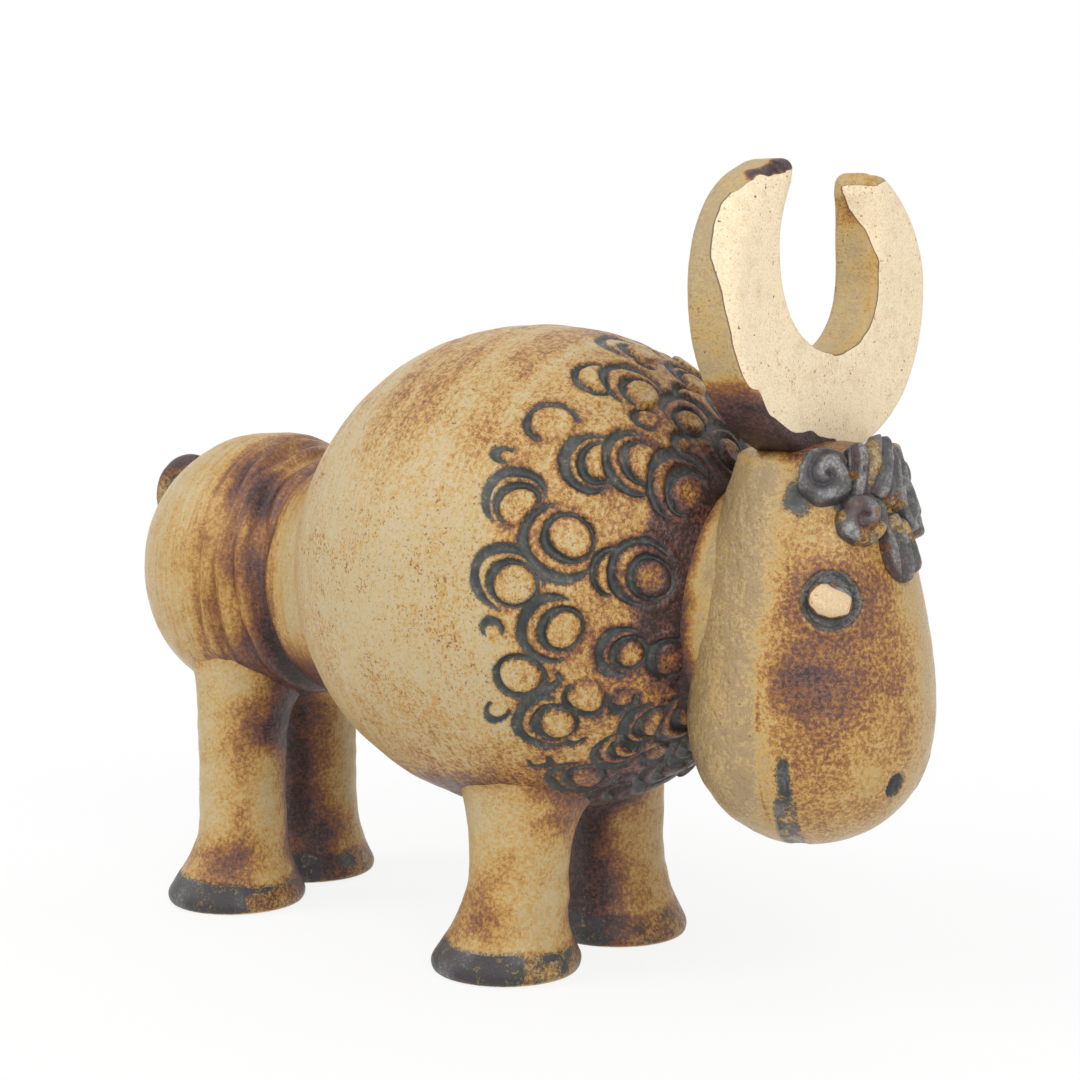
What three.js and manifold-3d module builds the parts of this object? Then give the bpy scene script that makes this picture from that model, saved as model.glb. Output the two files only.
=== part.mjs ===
// Stoneware buffalo: thrown and hand-rolled clay pieces luted together. Millimetres.
// +X runs forward to the muzzle, +Y to the animal's left, +Z up, and the feet stand on z = 0.
import * as THREE from 'three';
import { mergeVertices } from 'three/addons/utils/BufferGeometryUtils.js';
import Module from 'manifold-3d';

const wasm = await Module();
wasm.setup();

// Luting: the film of slip between two pieces
const lutingGap = 0.3;

// Barrel: a thrown form, turned about the X axis, that stands clear of the ground by bellyHeight
const barrelRadius = 50;
const barrelHalfLength = 52.4;
const bellyHeight = 30.1;
const barrelWall = 6;
const barrelAirHole = 6;
const bellyVentRadius = 2;
const bellyVentSetback = 30;

// Rump: a smaller thrown form, its centre rumpReach behind the barrel, collared in to a waist
const rumpRadius = 30.2;
const rumpHalfLength = 27.6;
const rumpReach = 24.8;
const rumpDrop = 5.5;
const rumpWall = 5;
const rumpShoulder = 12;
const waistRadius = 25.6;
const waistReach = 18.4;
const rumpFlangeRadius = 28.4;
const rumpFlangeReach = 31;
const rumpOverlap = 12.5;
const rumpHollowShoulder = 20;

// Head: an upright thrown egg, wide at the muzzle, its axis headReach in front of the barrel
const headReach = 12.8;
const headDrop = 48.1;
const headLength = 76.9;
const headRadius = 23.6;
const headWideRise = 26;
const muzzleFullness = 2.3;
const muzzleRoundness = 2.1;
const cheekTaper = 1.75;
const crownHeight = 3.5;
const crownRadius = 14.3;
const headWall = 5;

// Neck: a short oval tube that enters the back of the head
const neckHalfWidth = 18.8;
const neckHalfHeight = 24;
const neckDrop = 5.1;
const neckWall = 5;
const neckInsert = 8;

// Horns: one crescent cut from a slab of clay, let into the crown by hornSink
const hornThickness = 10;
const hornForward = 3.8;
const hornHalfSpan = 34.6;
const hornDrop = 31.5;
const hornRise = 26.6;
const hornSink = 3.4;
const hornGapHalfWidth = 18;
const hornGapRise = 7.3;
const hornGapDrop = 19.6;
const hornTipSpacing = 28.8;
const hornTipWidth = 3.4;
const hornEdgeRadius = 1.2;
const hornRoll = 1.5;

// Legs: rolled clay, pressed out into a foot
const footRadius = 15.3;
const footRollHeight = 2.2;
const soleRadius = 13.4;
const hoofRadius = 13.2;
const hoofHeight = 6.6;
const ankleRadius = 11.3;
const ankleHeight = 11.8;
const shankRadius = 10.1;
const shankHeight = 20;
const hipRadius = 10.9;
const hipFlare = 5;
const frontLegForward = 4.8;
const frontLegOffset = 18.2;
const frontLegLean = 2.6;
const hindLegRightForward = 0.2;
const hindLegRightOffset = 13.4;
const hindLegRightLean = 2.4;
const hindLegLeftForward = -6.4;
const hindLegLeftOffset = 17.4;
const hindLegLeftLean = 1.2;

// The face looks a little to the animal's left of the barrel's axis
const faceTurn = -8;

// Eyes: a bare clay pellet in a ring pressed into the head, by turn from the middle of the face
const eyeTurn = 55;
const eyeDrop = 27.6;
const eyeRingRadius = 5.9;
const eyePelletRadius = 4;
const eyeRingDepth = 1.6;
const eyePelletProud = 0.3;

// Nostrils and mouth, pressed and cut into the muzzle
const nostrilTurn = 19;
const nostrilRise = 14.4;
const nostrilRadius = 2;
const nostrilDepth = 2.2;
const mouthForward = 4.4;
const mouthRise = 20;
const mouthSlant = 13;
const mouthWidth = 3;
const mouthDepth = 1;

// Tail: a rolled coil with a web of clay inside, standing on the back of the rump
const tailRadius = 11.3;
const tailRollRadius = 2.5;
const tailCentreRadius = 2;
const tailStart = 70;
const tailWeb = 3.2;
const tailBack = 27.3;
const tailUp = 13;

// Forelock: rolled coils pressed on to the brow, placed by turn from straight ahead and by drop
const curlRollRadius = 1.6;
const curlCentreRadius = 0.5;
const curlLift = 0.9;
const curls = [
  { name: 'curl_right_outer', turn: 55, drop: 6.5, radius: 5.7, start: -20 },
  { name: 'curl_right_inner', turn: 31, drop: 14.7, radius: 5.5, start: 60 },
  { name: 'curl_crown', turn: 8, drop: 6.5, radius: 5.3, start: 100 },
  { name: 'curl_middle', turn: -16, drop: 13.5, radius: 5, start: 20 },
  { name: 'curl_brow', turn: 8, drop: 22.5, radius: 5.3, start: 80 },
  { name: 'curl_left_inner', turn: -47, drop: 15.7, radius: 5.2, start: 200 },
  { name: 'curl_left_outer', turn: -40, drop: 5.5, radius: 5, start: 140 },
];
const strandTurn = 31;
const strandDrop = 2.9;
const strandLength = 4.4;

// Fineness of the facets
const barrelSides = 48;
const barrelRings = 20;
const rumpSides = 40;
const rumpRings = 12;
const throatRings = 7;
const headSides = 40;
const headRings = 20;
const neckSides = 72;
const hollowSides = 24;
const hollowRings = 8;
const hornArcSteps = 10;
const hornEdgeSteps = 2;
const legSides = 22;
const legRings = 11;
const footRings = 2;
const boreSides = 16;
const rollSides = 6;
const coilSteps = 20;
const strandSteps = 6;

const degree = Math.PI / 180;
const weldDistance = 1e-4;
const slopeStep = 0.5;

// Places that follow from the barrel: each piece hangs from the one that carries it
const barrelHeight = bellyHeight + barrelRadius;
const rumpX = -barrelHalfLength - rumpReach;
const rumpHeight = barrelHeight - rumpDrop;
const headX = barrelHalfLength + headReach;
const headBottom = barrelHeight - headDrop;
const headTop = headBottom + headLength;
const headWideHeight = headBottom + headWideRise;
const headShoulderHeight = headTop - crownHeight;
const neckFront = headX - neckInsert;
const neckHeight = barrelHeight - neckDrop;
const hornWideHeight = headTop - hornSink + hornDrop;
const hornGapHeight = hornWideHeight + hornGapRise;
const eyeHeight = headTop - eyeDrop;
const nostrilHeight = headBottom + nostrilRise;
const mouthTop = headBottom + mouthRise;

// Colour and roughness of each finish
function finish(color, roughness) {
  return new THREE.MeshStandardMaterial({ color, roughness, metalness: 0 });
}
const tanGlaze = () => finish(0xc2a673, 0.55);
const ochreGlaze = () => finish(0xb78a48, 0.5);
const bareClay = () => finish(0xe8d4ac, 0.9);
const slateGlaze = () => finish(0x4b4d52, 0.4);

// A closed geometry becomes a solid once its shared vertices are merged and slivers dropped
function solid(geometry) {
  const bare = geometry.clone();
  bare.deleteAttribute('normal');
  bare.deleteAttribute('uv');
  const merged = mergeVertices(bare, weldDistance);
  const corners = merged.index.array;
  const triangles = [];
  for (let i = 0; i < corners.length; i += 3) {
    const [a, b, c] = [corners[i], corners[i + 1], corners[i + 2]];
    if (a !== b && b !== c && c !== a) triangles.push(a, b, c);
  }
  return new wasm.Manifold(new wasm.Mesh({
    numProp: 3,
    vertProperties: new Float32Array(merged.attributes.position.array),
    triVerts: new Uint32Array(triangles),
  }));
}

function geometryOf(body) {
  const mesh = body.getMesh();
  const geometry = new THREE.BufferGeometry();
  geometry.setAttribute('position', new THREE.BufferAttribute(mesh.vertProperties, 3));
  geometry.setIndex(new THREE.BufferAttribute(mesh.triVerts, 1));
  geometry.computeVertexNormals();
  return geometry;
}

// Turned forms: the points run from the low end of the axis to the high end
function turnedAboutX(points, sides) {
  return new THREE.LatheGeometry(points, sides).rotateZ(-Math.PI / 2);
}

function turnedAboutZ(points, sides) {
  return new THREE.LatheGeometry(points, sides).rotateX(Math.PI / 2);
}

// Part of an ellipse from one angle to another, where -90 and 90 lie on the axis
function ellipsePoints(radius, halfLength, count, from, to) {
  const points = [];
  for (let i = 0; i <= count; i += 1) {
    const turn = from + (to - from) * i / count;
    const acrossAxis = Math.abs(turn) === 90 ? 0 : radius * Math.cos(turn * degree);
    points.push(new THREE.Vector2(acrossAxis, halfLength * Math.sin(turn * degree)));
  }
  return points;
}

// A flat outline of y across and z up, given a thickness forward from x = 0
function extrudedForward(outline, options) {
  const forward = new THREE.Matrix4().makeBasis(
    new THREE.Vector3(0, 1, 0),
    new THREE.Vector3(0, 0, 1),
    new THREE.Vector3(1, 0, 0),
  );
  return new THREE.ExtrudeGeometry(outline, options).applyMatrix4(forward);
}

// A round pin from one point to another
function rod(radius, from, to) {
  const geometry = new THREE.CylinderGeometry(radius, radius, from.distanceTo(to), boreSides);
  const along = to.clone().sub(from).normalize();
  geometry.applyQuaternion(new THREE.Quaternion().setFromUnitVectors(new THREE.Vector3(0, 1, 0), along));
  const middle = from.clone().lerp(to, 0.5);
  return solid(geometry.translate(middle.x, middle.y, middle.z));
}

// A roll of clay along a path
function roll(path, radius, steps) {
  const section = new THREE.Shape();
  section.absarc(0, 0, radius, 0, 2 * Math.PI);
  return solid(new THREE.ExtrudeGeometry(section, {
    extrudePath: new THREE.CatmullRomCurve3(path),
    steps,
    curveSegments: rollSides / 2,
    bevelEnabled: false,
  }));
}

// A spiral wound inwards, its turns a film of slip apart, as distance across and up from its centre
function spiral(radius, rollRadius, centreRadius, start) {
  const outer = radius - rollRadius;
  const pitch = 2 * rollRadius + lutingGap;
  const turns = (outer - centreRadius) / pitch;
  const steps = Math.round(turns * coilSteps);
  const points = [];
  for (let i = 0; i <= steps; i += 1) {
    const angle = (start + 360 * turns * i / steps) * degree;
    const reach = outer - pitch * turns * i / steps;
    points.push(new THREE.Vector2(reach * Math.cos(angle), reach * Math.sin(angle)));
  }
  return points;
}

// Barrel
function barrelForm(grow, sides, rings) {
  const profile = ellipsePoints(barrelRadius + grow, barrelHalfLength + grow, rings, -90, 90);
  return solid(turnedAboutX(profile, sides).translate(0, 0, barrelHeight));
}
const barrelSeat = barrelForm(lutingGap, barrelSides, barrelRings);

function makeBarrel() {
  const airHole = rod(
    barrelAirHole,
    new THREE.Vector3(-2 * barrelHalfLength, 0, barrelHeight),
    new THREE.Vector3(2 * barrelHalfLength, 0, barrelHeight),
  );
  const bellyVent = rod(
    bellyVentRadius,
    new THREE.Vector3(-bellyVentSetback, 0, 0),
    new THREE.Vector3(-bellyVentSetback, 0, barrelHeight),
  );
  return barrelForm(0, barrelSides, barrelRings)
    .subtract(barrelForm(-barrelWall, hollowSides, hollowRings))
    .subtract(airHole)
    .subtract(bellyVent);
}

// Rump: the back of an ellipsoid that narrows to the waist and opens out again to the barrel
function rumpForm(grow) {
  const round = ellipsePoints(rumpRadius + grow, rumpHalfLength + grow, rumpRings, -90, rumpShoulder);
  const edge = round[round.length - 1];
  const waist = new THREE.Vector2(waistRadius + grow, waistReach);
  const flange = new THREE.Vector2(rumpFlangeRadius + grow, rumpFlangeReach);
  const throat = new THREE.SplineCurve([edge, edge.clone().lerp(waist, 0.5), waist, flange]);
  const end = rumpFlangeReach + rumpOverlap;
  const profile = [
    ...round,
    ...throat.getPoints(throatRings).slice(1),
    new THREE.Vector2(rumpFlangeRadius + grow, end),
    new THREE.Vector2(0, end),
  ];
  return solid(turnedAboutX(profile, rumpSides).translate(rumpX, 0, rumpHeight));
}
const rumpSeat = rumpForm(lutingGap);

function makeRump() {
  const boreRadius = waistRadius - rumpWall;
  const boreEnd = rumpFlangeReach + rumpOverlap + lutingGap;
  const profile = [
    ...ellipsePoints(
      rumpRadius - rumpWall, rumpHalfLength - rumpWall, hollowRings, -90, rumpHollowShoulder,
    ),
    new THREE.Vector2(boreRadius, waistReach),
    new THREE.Vector2(boreRadius, boreEnd),
    new THREE.Vector2(0, boreEnd),
  ];
  const hollow = solid(turnedAboutX(profile, hollowSides).translate(rumpX, 0, rumpHeight));
  return rumpForm(0).subtract(hollow).subtract(barrelSeat);
}

// Head: half an ellipse under the widest ring, a taper to the shoulder, and a rounded crown
function headRadiusAt(height, grow = 0) {
  const bottom = headBottom - grow;
  const top = headTop + grow;
  const wide = headRadius + grow;
  const shoulder = crownRadius + grow;
  if (height <= bottom || height >= top) return 0;
  if (height <= headWideHeight) {
    const drop = (headWideHeight - height) / (headWideHeight - bottom);
    return wide * (1 - drop ** muzzleFullness) ** (1 / muzzleRoundness);
  }
  if (height <= headShoulderHeight) {
    const rise = (height - headWideHeight) / (headShoulderHeight - headWideHeight);
    return wide - (wide - shoulder) * rise ** cheekTaper;
  }
  const crown = (height - headShoulderHeight) / (top - headShoulderHeight);
  return shoulder * Math.sqrt(1 - crown ** 2);
}

function headForm(grow, sides, rings) {
  const bottom = headBottom - grow;
  const top = headTop + grow;
  const profile = [];
  for (let i = 0; i <= rings; i += 1) {
    const height = bottom + (top - bottom) * (1 - Math.cos(Math.PI * i / rings)) / 2;
    const closed = i === 0 || i === rings;
    profile.push(new THREE.Vector2(closed ? 0 : headRadiusAt(height, grow), height));
  }
  return solid(turnedAboutZ(profile, sides).translate(headX, 0, 0));
}
const headSeat = headForm(lutingGap, headSides, headRings);

// A point on the head, by turn from straight ahead towards the right side, height and lift
function onHead(turn, height, lift) {
  const radius = headRadiusAt(height) + lift;
  const angle = turn * degree;
  return new THREE.Vector3(headX + radius * Math.cos(angle), -radius * Math.sin(angle), height);
}

// The direction straight out of the head's surface at a turn and height
function outOfHead(turn, height) {
  const rise = headRadiusAt(height + slopeStep) - headRadiusAt(height - slopeStep);
  const angle = turn * degree;
  return new THREE.Vector3(Math.cos(angle), -Math.sin(angle), -rise / (2 * slopeStep)).normalize();
}

// A round pin square to the head's surface, from a depth below it to a height above it
function pressedPin(radius, turn, height, below, above) {
  const surface = onHead(turn, height, 0);
  const out = outOfHead(turn, height);
  const from = surface.clone().addScaledVector(out, -below);
  return rod(radius, from, surface.clone().addScaledVector(out, above));
}

function neckForm(grow, length) {
  const oval = new THREE.Shape();
  oval.absellipse(0, 0, neckHalfWidth + grow, neckHalfHeight + grow, 0, 2 * Math.PI);
  const tube = extrudedForward(oval, {
    depth: length,
    bevelEnabled: false,
    curveSegments: neckSides / 2,
  });
  return solid(tube.translate(0, 0, neckHeight));
}

function makeNeck() {
  const bore = neckForm(-neckWall, neckFront + lutingGap);
  return neckForm(0, neckFront).subtract(bore).subtract(barrelSeat);
}

function makeHead() {
  const slit = new THREE.BoxGeometry(mouthWidth, 3 * headRadius, mouthTop);
  slit.translate(0, 0, -mouthTop / 2).rotateY(mouthSlant * degree);
  slit.translate(mouthForward, 0, mouthTop).rotateZ(-faceTurn * degree).translate(headX, 0, 0);
  const mouth = solid(slit).subtract(headForm(-mouthDepth, headSides, headRings));
  let head = headForm(0, headSides, headRings)
    .subtract(headForm(-headWall, hollowSides, hollowRings))
    .subtract(neckForm(lutingGap, neckFront + lutingGap))
    .subtract(barrelSeat)
    .subtract(mouth);
  for (const side of [1, -1]) {
    const eyePlace = faceTurn + side * eyeTurn;
    const nostrilPlace = faceTurn + side * nostrilTurn;
    head = head
      .subtract(pressedPin(eyeRingRadius, eyePlace, eyeHeight, eyeRingDepth, eyeRingRadius))
      .subtract(pressedPin(nostrilRadius, nostrilPlace, nostrilHeight, nostrilDepth, nostrilRadius));
  }
  return head;
}

function makeEye(side) {
  const below = eyeRingDepth - lutingGap;
  return pressedPin(eyePelletRadius, faceTurn + side * eyeTurn, eyeHeight, below, eyePelletProud);
}

// Horns: two elliptical arcs outside, one inside, and a rounded end on each prong
function makeHorns() {
  const tipInside = hornTipSpacing / 2;
  const tipOutside = tipInside + hornTipWidth;
  const outsideAngle = Math.acos(tipOutside / hornHalfSpan);
  const insideAngle = Math.acos(tipInside / hornGapHalfWidth);
  const outsideHeight = hornWideHeight + hornRise * Math.sin(outsideAngle);
  const insideHeight = hornGapHeight + hornGapDrop * Math.sin(insideAngle);
  const crescent = new THREE.Shape();
  crescent.absellipse(0, hornWideHeight, hornHalfSpan, hornDrop, -Math.PI / 2, 0, false, 0);
  crescent.absellipse(0, hornWideHeight, hornHalfSpan, hornRise, 0, outsideAngle, false, 0);
  crescent.quadraticCurveTo(tipInside, outsideHeight, tipInside, insideHeight);
  crescent.absellipse(
    0, hornGapHeight, hornGapHalfWidth, hornGapDrop, insideAngle, Math.PI - insideAngle, true, 0,
  );
  crescent.quadraticCurveTo(-tipInside, outsideHeight, -tipOutside, outsideHeight);
  crescent.absellipse(0, hornWideHeight, hornHalfSpan, hornRise, Math.PI - outsideAngle, Math.PI, false, 0);
  crescent.absellipse(0, hornWideHeight, hornHalfSpan, hornDrop, Math.PI, 1.5 * Math.PI, false, 0);
  const corners = crescent.getPoints(hornArcSteps);
  const outline = corners.filter((corner, i) => {
    return corner.distanceTo(corners[(i + 1) % corners.length]) > weldDistance;
  });
  const slab = extrudedForward(new THREE.Shape(outline), {
    depth: hornThickness - 2 * hornEdgeRadius,
    bevelSize: hornEdgeRadius,
    bevelThickness: hornEdgeRadius,
    bevelOffset: -hornEdgeRadius,
    bevelSegments: hornEdgeSteps,
  });
  slab.translate(0, 0, -headTop).rotateX(-hornRoll * degree);
  const back = headX + hornForward - hornThickness + hornEdgeRadius;
  return solid(slab.translate(back, 0, headTop)).subtract(headSeat);
}

// Legs: the profile runs from the sole up to the hip, then closes inside the body above it
function makeLeg({ x, y, lean, body }) {
  const hipHeight = body.height - Math.sqrt(body.radius ** 2 - y ** 2);
  const footRoll = [];
  for (let i = 0; i < footRings; i += 1) {
    const angle = i / footRings * Math.PI / 2;
    const radius = soleRadius + (footRadius - soleRadius) * Math.sin(angle);
    footRoll.push(new THREE.Vector2(radius, footRollHeight * (1 - Math.cos(angle))));
  }
  const flank = new THREE.SplineCurve([
    new THREE.Vector2(footRadius, footRollHeight),
    new THREE.Vector2(hoofRadius, hoofHeight),
    new THREE.Vector2(ankleRadius, ankleHeight),
    new THREE.Vector2(shankRadius, shankHeight),
    new THREE.Vector2(shankRadius, hipHeight - hipFlare),
    new THREE.Vector2(hipRadius, hipHeight + hipFlare),
  ]);
  const profile = [
    new THREE.Vector2(0, 0),
    ...footRoll,
    ...flank.getPoints(legRings),
    new THREE.Vector2(0, body.height),
  ];
  const leg = turnedAboutZ(profile, legSides);
  const position = leg.attributes.position;
  for (let i = 0; i < position.count; i += 1) {
    const share = THREE.MathUtils.smoothstep(position.getZ(i), 0, shankHeight);
    position.setX(i, position.getX(i) + lean * share);
  }
  return solid(leg.translate(x, y, 0)).subtract(body.seat);
}

function makeTail() {
  const centre = new THREE.Vector3(rumpX - tailBack, 0, rumpHeight + tailUp);
  const coil = spiral(tailRadius, tailRollRadius, tailCentreRadius, tailStart);
  const path = coil.map((point) => new THREE.Vector3(centre.x + point.x, centre.y, centre.z + point.y));
  const side = new THREE.Vector3(0, tailWeb / 2, 0);
  const web = rod(tailRadius - tailRollRadius, centre.clone().sub(side), centre.clone().add(side));
  return roll(path, tailRollRadius, path.length - 1).add(web).subtract(rumpSeat);
}

// A coil on the brow, following the head's surface
function makeCurl({ turn, drop, radius, start }) {
  const height = headTop - drop;
  const acrossDegree = (headRadiusAt(height) + curlLift) * degree;
  const coil = spiral(radius, curlRollRadius, curlCentreRadius, start);
  const path = coil.map((point) => onHead(turn + point.x / acrossDegree, height + point.y, curlLift));
  return roll(path, curlRollRadius, path.length - 1).subtract(headSeat);
}

function makeStrand() {
  const top = headTop - strandDrop;
  const heights = [top - strandLength, top - strandLength / 2, top];
  const path = heights.map((height) => onHead(strandTurn, height, curlLift));
  return roll(path, curlRollRadius, strandSteps).subtract(headSeat);
}

// Assembly
const buffalo = new THREE.Group();

function place(name, body, material) {
  const mesh = new THREE.Mesh(geometryOf(body), material);
  mesh.name = name;
  buffalo.add(mesh);
}

place('barrel', makeBarrel(), tanGlaze());
place('rump', makeRump(), ochreGlaze());
place('neck', makeNeck(), tanGlaze());
place('head', makeHead(), ochreGlaze());
place('horns', makeHorns(), bareClay());

const underBarrel = { height: barrelHeight, radius: barrelRadius, seat: barrelSeat };
const underRump = { height: rumpHeight, radius: rumpRadius, seat: rumpSeat };
const legs = [
  {
    name: 'front_leg_right',
    x: frontLegForward,
    y: -frontLegOffset,
    lean: frontLegLean,
    body: underBarrel,
  },
  {
    name: 'front_leg_left',
    x: frontLegForward,
    y: frontLegOffset,
    lean: frontLegLean,
    body: underBarrel,
  },
  {
    name: 'hind_leg_right',
    x: rumpX + hindLegRightForward,
    y: -hindLegRightOffset,
    lean: hindLegRightLean,
    body: underRump,
  },
  {
    name: 'hind_leg_left',
    x: rumpX + hindLegLeftForward,
    y: hindLegLeftOffset,
    lean: hindLegLeftLean,
    body: underRump,
  },
];
for (const leg of legs) place(leg.name, makeLeg(leg), tanGlaze());

place('tail', makeTail(), slateGlaze());
place('eye_right', makeEye(1), bareClay());
place('eye_left', makeEye(-1), bareClay());
for (const curl of curls) place(curl.name, makeCurl(curl), slateGlaze());
place('curl_strand', makeStrand(), slateGlaze());

// The origin lies on the ground, midway between the tail and the muzzle
const extent = new THREE.Box3().setFromObject(buffalo);
buffalo.position.set(-(extent.min.x + extent.max.x) / 2, -(extent.min.y + extent.max.y) / 2, 0);

export default buffalo;
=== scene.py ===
import math

import bpy
import numpy as np
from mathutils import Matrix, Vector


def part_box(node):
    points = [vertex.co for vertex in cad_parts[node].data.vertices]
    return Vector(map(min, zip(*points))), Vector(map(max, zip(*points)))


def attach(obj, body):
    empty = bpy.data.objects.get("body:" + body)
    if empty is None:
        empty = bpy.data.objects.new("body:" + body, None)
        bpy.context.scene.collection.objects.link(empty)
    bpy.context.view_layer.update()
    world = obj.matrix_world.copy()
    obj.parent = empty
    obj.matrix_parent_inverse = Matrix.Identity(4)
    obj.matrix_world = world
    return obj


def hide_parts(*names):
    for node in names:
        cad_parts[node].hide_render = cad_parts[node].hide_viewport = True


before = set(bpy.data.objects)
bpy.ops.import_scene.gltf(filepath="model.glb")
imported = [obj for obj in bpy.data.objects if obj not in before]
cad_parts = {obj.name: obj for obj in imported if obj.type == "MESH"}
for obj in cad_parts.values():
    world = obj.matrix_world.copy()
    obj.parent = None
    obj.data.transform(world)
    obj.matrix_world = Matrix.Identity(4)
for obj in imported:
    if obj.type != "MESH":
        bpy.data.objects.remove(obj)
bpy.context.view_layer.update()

# Everything is modelled in millimetres round the barrel's middle, feet on zero, then settled in metres
mm = 0.001
farAway = 9.0       # millimetres: stands for no cut or pit near by
barrelLow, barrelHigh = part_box("barrel")
barrelMiddle = (barrelLow[0] + barrelHigh[0]) / 2

# Fired colours, as matched sRGB
fired = {
    "khaki": (188, 170, 132),
    "olive": (167, 147, 111),
    # a darker khaki that is painted shade, for parts shaded by the barrel and mane
    "shadedKhaki": (160, 136, 98),
    "straw": (187, 161, 107),
    "gold": (185, 144, 74),
    "ochre": (152, 106, 52),
    "rust": (120, 74, 46),
    "plum": (86, 57, 56),
    "umber": (46, 31, 29),
    "tan": (172, 124, 68),
    "slate": (68, 74, 72),
    "ink": (42, 49, 49),
    "night": (50, 46, 54),
    "ash": (150, 148, 148),
    "clay": (244, 226, 193),
    "biscuit": (214, 187, 146),
    "grit": (230, 207, 170),
}


def colour(name):
    parts = [value / 255 for value in fired[name]]
    return tuple(v / 12.92 if v <= 0.04045 else ((v + 0.055) / 1.055) ** 2.4 for v in parts) + (1.0,)


# Small tools for picking, reading and moving the points of a piece

def pick(piece):
    if bpy.context.object and bpy.context.object.mode != "OBJECT":
        bpy.ops.object.mode_set(mode="OBJECT")
    bpy.ops.object.select_all(action="DESELECT")
    piece.select_set(True)
    bpy.context.view_layer.objects.active = piece


def getPoints(piece, kind="co"):
    points = np.empty(len(piece.data.vertices) * 3, dtype=np.float32)
    piece.data.vertices.foreach_get(kind, points)
    return points.reshape(-1, 3).astype(float)


def setPoints(piece, points):
    piece.data.vertices.foreach_set("co", points.astype(np.float32).ravel())
    piece.data.update()


def paint(piece, **layers):
    # each layer is one value, or one for every point
    for name, values in layers.items():
        painted = piece.data.attributes.new(name, "FLOAT", "POINT")
        painted.data.foreach_set("value", np.full(len(piece.data.vertices), values, dtype=np.float32))


def ease(values, low, high):
    share = np.clip((values - low) / (high - low), 0, 1)
    return share * share * (3 - 2 * share)


def bell(values, width):
    return np.exp(-(values / width) ** 2)


def unitRows(rows):
    return rows / np.linalg.norm(rows, axis=1)[:, None]


def ringWay(around):
    # unit directions round the Z axis
    return np.column_stack([np.cos(around), np.sin(around), 0 * around])


def lumps(points, size, seed):
    # smooth random hills from -1 to 1, about one size apart
    cell = points / size + seed * 7.31
    low = np.floor(cell).astype(np.int64)
    part = cell - low
    part = part * part * (3 - 2 * part)
    total = np.zeros(len(points))
    for corner in np.ndindex(2, 2, 2):
        key = ((low + corner) * (73856093, 19349663, 83492791)).sum(axis=1) + seed * 40503
        key = (key ^ (key >> 13)) * 1274126177 & 0x7FFFFFFF
        key = (key ^ (key >> 11)) * 374761393 & 0x7FFFFFFF
        share = np.prod(np.where(corner, part, 1 - part), axis=1)
        total += share * (key / 0x3FFFFFFF - 1)
    return total


def smoothLine(points, count):
    # a Catmull-Rom curve through the points
    points = np.array(points, dtype=float)
    ends = np.vstack([2 * points[0] - points[1], points, 2 * points[-1] - points[-2]])
    line = []
    for place in np.linspace(0, len(points) - 1.000001, count):
        i = int(place)
        t = place - i
        a, b, c, d = ends[i:i + 4]
        line.append(0.5 * (2 * b + (c - a) * t + (2 * a - 5 * b + 4 * c - d) * t ** 2
                           + (3 * b - a - 3 * c + d) * t ** 3))
    return np.array(line)


def addObject(name, data):
    added = bpy.data.objects.new(name, data)
    bpy.context.collection.objects.link(added)
    return added


def newPiece(name, points, edges, faces=()):
    mesh = bpy.data.meshes.new(name)
    mesh.from_pydata([tuple(point) for point in points], edges, faces)
    piece = addObject(name, mesh)
    pick(piece)
    return piece


def newBall(name, segments, rings):
    bpy.ops.object.select_all(action="DESELECT")
    bpy.ops.mesh.primitive_uv_sphere_add(segments=segments, ring_count=rings, radius=1)
    bpy.context.object.name = name
    return bpy.context.object


def throwOnWheel(name, profile, axis, steps):
    # a profile of radius and height is spun round X or Z, then closed up
    if axis == "X":
        points = [(height, 0, radius) for radius, height in profile]
    else:
        points = [(radius, 0, height) for radius, height in profile]
    piece = newPiece(name, points, [(i, i + 1) for i in range(len(points) - 1)])
    bpy.ops.object.mode_set(mode="EDIT")
    bpy.ops.mesh.select_all(action="SELECT")
    bpy.ops.mesh.spin(steps=steps, angle=2 * math.pi, center=(0, 0, 0),
                      axis=(1, 0, 0) if axis == "X" else (0, 0, 1))
    bpy.ops.mesh.select_all(action="SELECT")
    bpy.ops.mesh.remove_doubles(threshold=0.0005)
    bpy.ops.mesh.normals_make_consistent(inside=False)
    bpy.ops.object.mode_set(mode="OBJECT")
    return piece


def refine(piece, wanted):
    # subdivide the faces whose middles pass the test
    middles = np.empty(len(piece.data.polygons) * 3, dtype=np.float32)
    piece.data.polygons.foreach_get("center", middles)
    chosen = wanted(middles.reshape(-1, 3).astype(float))
    pick(piece)
    bpy.context.tool_settings.mesh_select_mode = (False, False, True)
    bpy.ops.object.mode_set(mode="EDIT")
    bpy.ops.mesh.select_all(action="DESELECT")
    bpy.ops.object.mode_set(mode="OBJECT")
    piece.data.polygons.foreach_set("select", chosen)
    bpy.ops.object.mode_set(mode="EDIT")
    bpy.ops.mesh.subdivide(number_cuts=1)
    bpy.ops.object.mode_set(mode="OBJECT")


def soften(piece, times):
    soft = piece.modifiers.new("soft", "SMOOTH")
    soft.factor = 0.5
    soft.iterations = times
    bpy.ops.object.modifier_apply(modifier=soft.name)


def remesh(piece, voxel, smoothing):
    # wet clay has no seams: one even skin, smoothed a little
    pick(piece)
    skin = piece.modifiers.new("skin", "REMESH")
    skin.mode = "VOXEL"
    skin.voxel_size = voxel
    bpy.ops.object.modifier_apply(modifier=skin.name)
    soften(piece, smoothing)


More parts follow.
